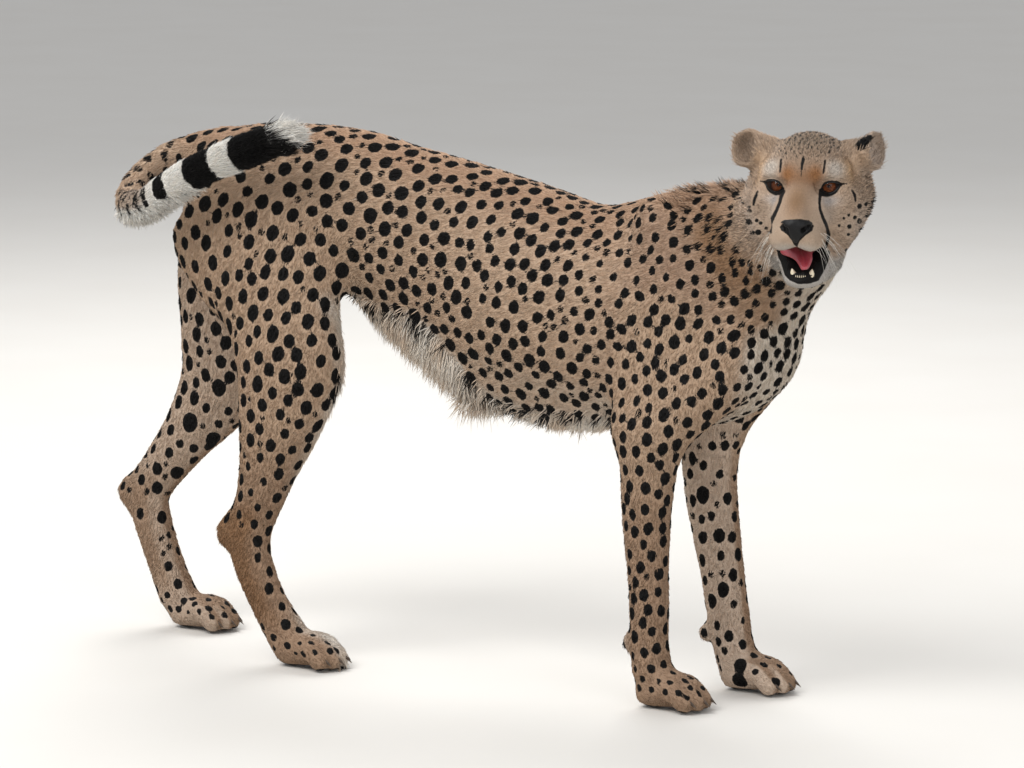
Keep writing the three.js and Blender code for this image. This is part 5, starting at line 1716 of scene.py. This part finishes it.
def unwrap(ob):
    """An unwrap of the skin's own shape, in flat patches."""
    ob.data.uv_layers.new(name="OFBake")
    bpy.context.view_layer.objects.active = ob
    ob.select_set(True)
    bpy.ops.object.mode_set(mode="EDIT")
    bpy.ops.mesh.select_all(action="SELECT")
    bpy.ops.uv.smart_project(angle_limit=math.radians(70), island_margin=0.003)
    bpy.ops.object.mode_set(mode="OBJECT")
    ob.select_set(False)


# ------------------------------------------------------------------ floor, light and camera

# Lamps: place, width and power.
LAMPS = {
    "key": ((-1.2, -3.2, 4.2), 3.0, 210.0),
    "back": ((-1.5, 2.6, 3.6), 2.5, 120.0),
    "fill": ((3.4, -2.6, 1.8), 2.5, 40.0),
}
LAMPS_AIM = Vector((0, 0, 0.4))
CAMERA_AIM = Vector((0.0631, 0.0377, 0.417))
LENS = 175.8  # millimetres, on a sensor 36 mm wide


def aim(ob, place, target):
    """Stands a lamp or the camera at a place and turns it to its target."""
    ob.location = place
    ob.rotation_euler = (target - ob.location).to_track_quat("-Z", "Y").to_euler()


def floor_material():
    # Matt painted board, with the faint unevenness of a roller.
    material, tree = new_material("painted floor")
    place = add(tree, "ShaderNodeTexCoord").outputs["Object"]
    cloud = add(tree, "ShaderNodeTexNoise", {"Vector": place, "Scale": 0.003 / MM})
    colour = add(tree, "ShaderNodeMix", {"Factor": cloud.outputs["Fac"], 6: rgba("#d6d2cb"),
                                         7: rgba("#dbd8d2")}, data_type="RGBA")
    return finish_material(material, {"Base Color": colour.outputs[2], "Roughness": 0.8})


def make_stage():
    bm = bmesh.new()
    bmesh.ops.create_grid(bm, x_segments=1, y_segments=1, size=14)
    floor = from_bmesh("floor", bm)
    floor.data.materials.append(floor_material())

    world = bpy.data.worlds.new("studio")
    bpy.context.scene.world = world
    world.use_nodes = True
    background = world.node_tree.nodes["Background"]
    background.inputs["Color"].default_value = rgba("#e4e6ea")
    background.inputs["Strength"].default_value = 0.75
    for name, (place, width, power) in LAMPS.items():
        lamp = bpy.data.lights.new(name, "AREA")
        lamp.size = width
        lamp.energy = power
        aim(new_object(name, lamp), place, LAMPS_AIM)


def make_camera():
    camera = bpy.data.cameras.new("camera")
    camera.sensor_width = 36
    camera.lens = LENS
    ob = new_object("camera", camera)
    aim(ob, CAMERA_AT, CAMERA_AIM)
    bpy.context.scene.camera = ob
    bpy.context.scene.view_settings.view_transform = "Standard"


# ------------------------------------------------------------------ putting it together

make_camera()
make_stage()
skin = make_skin()
unwrap(skin.ob)
lie = lay_coat(skin)
marks = Markings(skin, lie)
paint_skin(skin, marks)
coat = Coat(skin, lie, marks)
grow_coat(coat, skin)
grow_long_hair(coat, skin, lie)
for side, word in SIDES.items():
    make_eye(side, f"eye_{word}")
    make_lid_margin(side, f"eye_{word}")
make_nose()
make_tongue()
make_teeth()
make_claws()
make_whiskers(skin)
